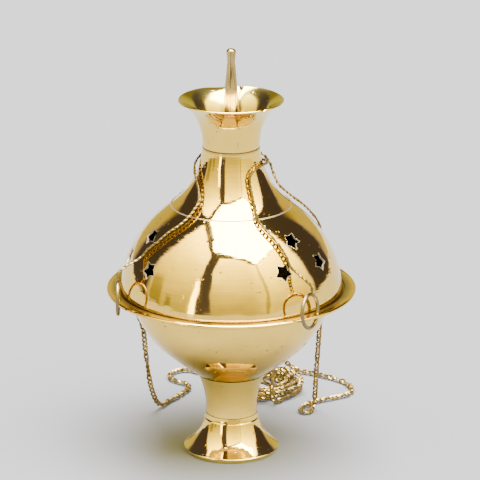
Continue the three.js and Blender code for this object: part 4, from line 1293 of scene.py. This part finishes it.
def make_floor():
    """A level sheet of paper under the burner."""
    mesh = bpy.data.meshes.new("floor")
    half = FLOOR_HALF
    corners = [(-half, -half, 0), (half, -half, 0), (half, half, 0), (-half, half, 0)]
    mesh.from_pydata(corners, [], [(0, 1, 2, 3)])
    floor = placed("floor", mesh)
    material = bpy.data.materials.new("floor paper")
    material.use_nodes = True
    shader = material.node_tree.nodes["Principled BSDF"]
    shader.inputs["Base Color"].default_value = (*FLOOR_PAPER, 1)
    shader.inputs["Roughness"].default_value = FLOOR_ROUGHNESS
    shader.inputs["Specular IOR Level"].default_value = FLOOR_SPECULAR
    mesh.materials.append(material)
    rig.stage(floor)


def make_world():
    """Light by direction: walls brighter with height, a white box overhead, dark gaps between."""
    world = bpy.data.worlds.new("studio")
    bpy.context.scene.world = world
    world.use_nodes = True
    nodes, links, op, mix = node_tools(world.node_tree)
    background = nodes["Background"]
    where = nodes.new("ShaderNodeTexCoord")
    split = nodes.new("ShaderNodeSeparateXYZ")
    links.new(where.outputs["Generated"], split.inputs[0])
    x, y, z = split.outputs

    def times(*values):
        result = values[0]
        for value in values[1:]:
            result = op("MULTIPLY", result, value)
        return result

    def ramp(value, low, high):
        node = nodes.new("ShaderNodeMapRange")
        node.interpolation_type = "SMOOTHSTEP"
        links.new(value, node.inputs["Value"])
        node.inputs["From Min"].default_value = low
        node.inputs["From Max"].default_value = high
        return node.outputs["Result"]

    def outside(mask):
        return op("SUBTRACT", 1.0, mask)

    def between(value, low, high, soft):
        risen = ramp(value, low - soft, low + soft)
        return times(risen, outside(ramp(value, high - soft, high + soft)))

    def blend(mask, below, above):
        return op("ADD", times(outside(mask), below), times(mask, above))

    azimuth = times(op("ARCTAN2", x, times(y, -1.0)), 180 / math.pi)
    height = times(op("ARCSINE", z), 180 / math.pi)
    turned_away = op("ABSOLUTE", azimuth)

    def upright(edges, foot, top):
        return times(between(azimuth, *edges), ramp(height, *foot), outside(ramp(height, *top)))

    lowest, highest = WALL_GROWTH_RANGE
    grown = op("EXPONENT", times(op("MINIMUM", op("MAXIMUM", height, lowest), highest), WALL_GROWTH))
    side = 1.0
    for span, gain in WALL_LIFTS:
        side = op("ADD", side, times(ramp(azimuth, *span), gain))
    seam = times(between(azimuth, *SEAM), SEAM_DARK)
    stripes = [times(between(azimuth, *edges), outside(ramp(height, *top))) for edges, top in STRIPES]
    stripes = times(op("MAXIMUM", *stripes), STRIPES_DARK)
    wall = times(grown, side, WALL, outside(seam), outside(stripes))
    rear = blend(ramp(height, *REAR_DIM), REAR, REAR_TOP)

    overhead = ramp(z, *OVERHEAD_START)
    up = op("MAXIMUM", z, OVERHEAD_START[0])
    u, v = op("DIVIDE", x, up), op("DIVIDE", times(y, -1.0), up)
    left = op("ADD", u, BOX_LEFT)
    front = op("SUBTRACT", op("ADD", BOX_FRONT[0], times(u, BOX_FRONT[1])), v)
    back = op("SUBTRACT", op("ADD", v, BOX_BACK[0]), times(u, BOX_BACK[1]))
    corner = op("SUBTRACT", op("SUBTRACT", BOX_CORNER[0], u), times(v, BOX_CORNER[1]))
    near_edges = op("MINIMUM", left, front)
    box = ramp(op("MINIMUM", near_edges, op("MINIMUM", back, corner)), 0.0, BOX_SOFTNESS)
    box = times(box, overhead)
    far_edges = op("MINIMUM", back, op("ADD", corner, BOX_THIN_FRAME))
    box_frame = ramp(op("MINIMUM", op("ADD", near_edges, BOX_FRAME), far_edges), 0.0, BOX_SOFTNESS)
    stand = upright(*STAND_SHAPE)

    dark = op("MAXIMUM", times(box_frame, overhead), stand)
    gap = ramp(turned_away, *GAP_START)
    back_wall = ramp(turned_away, *BACK_WALL_START)
    light = blend(upright(*SHINE_SHAPE), blend(dark, wall, STAND), STAND_SHINE)
    light = blend(back_wall, blend(gap, light, GAP), rear)
    links.new(blend(box, light, BOX), background.inputs["Strength"])
    shaded = times(op("MAXIMUM", dark, gap), outside(back_wall))
    links.new(mix(box, mix(shaded, WALL_COLOR, GAP_COLOR), BOX_COLOR), background.inputs["Color"])


make_floor()
make_world()

VISUAL_BOX = [list(map(float, corner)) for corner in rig.bounds()]
with open("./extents.json", "w") as size_file:
    json.dump({"cad": CAD_BOX, "visual": VISUAL_BOX}, size_file)
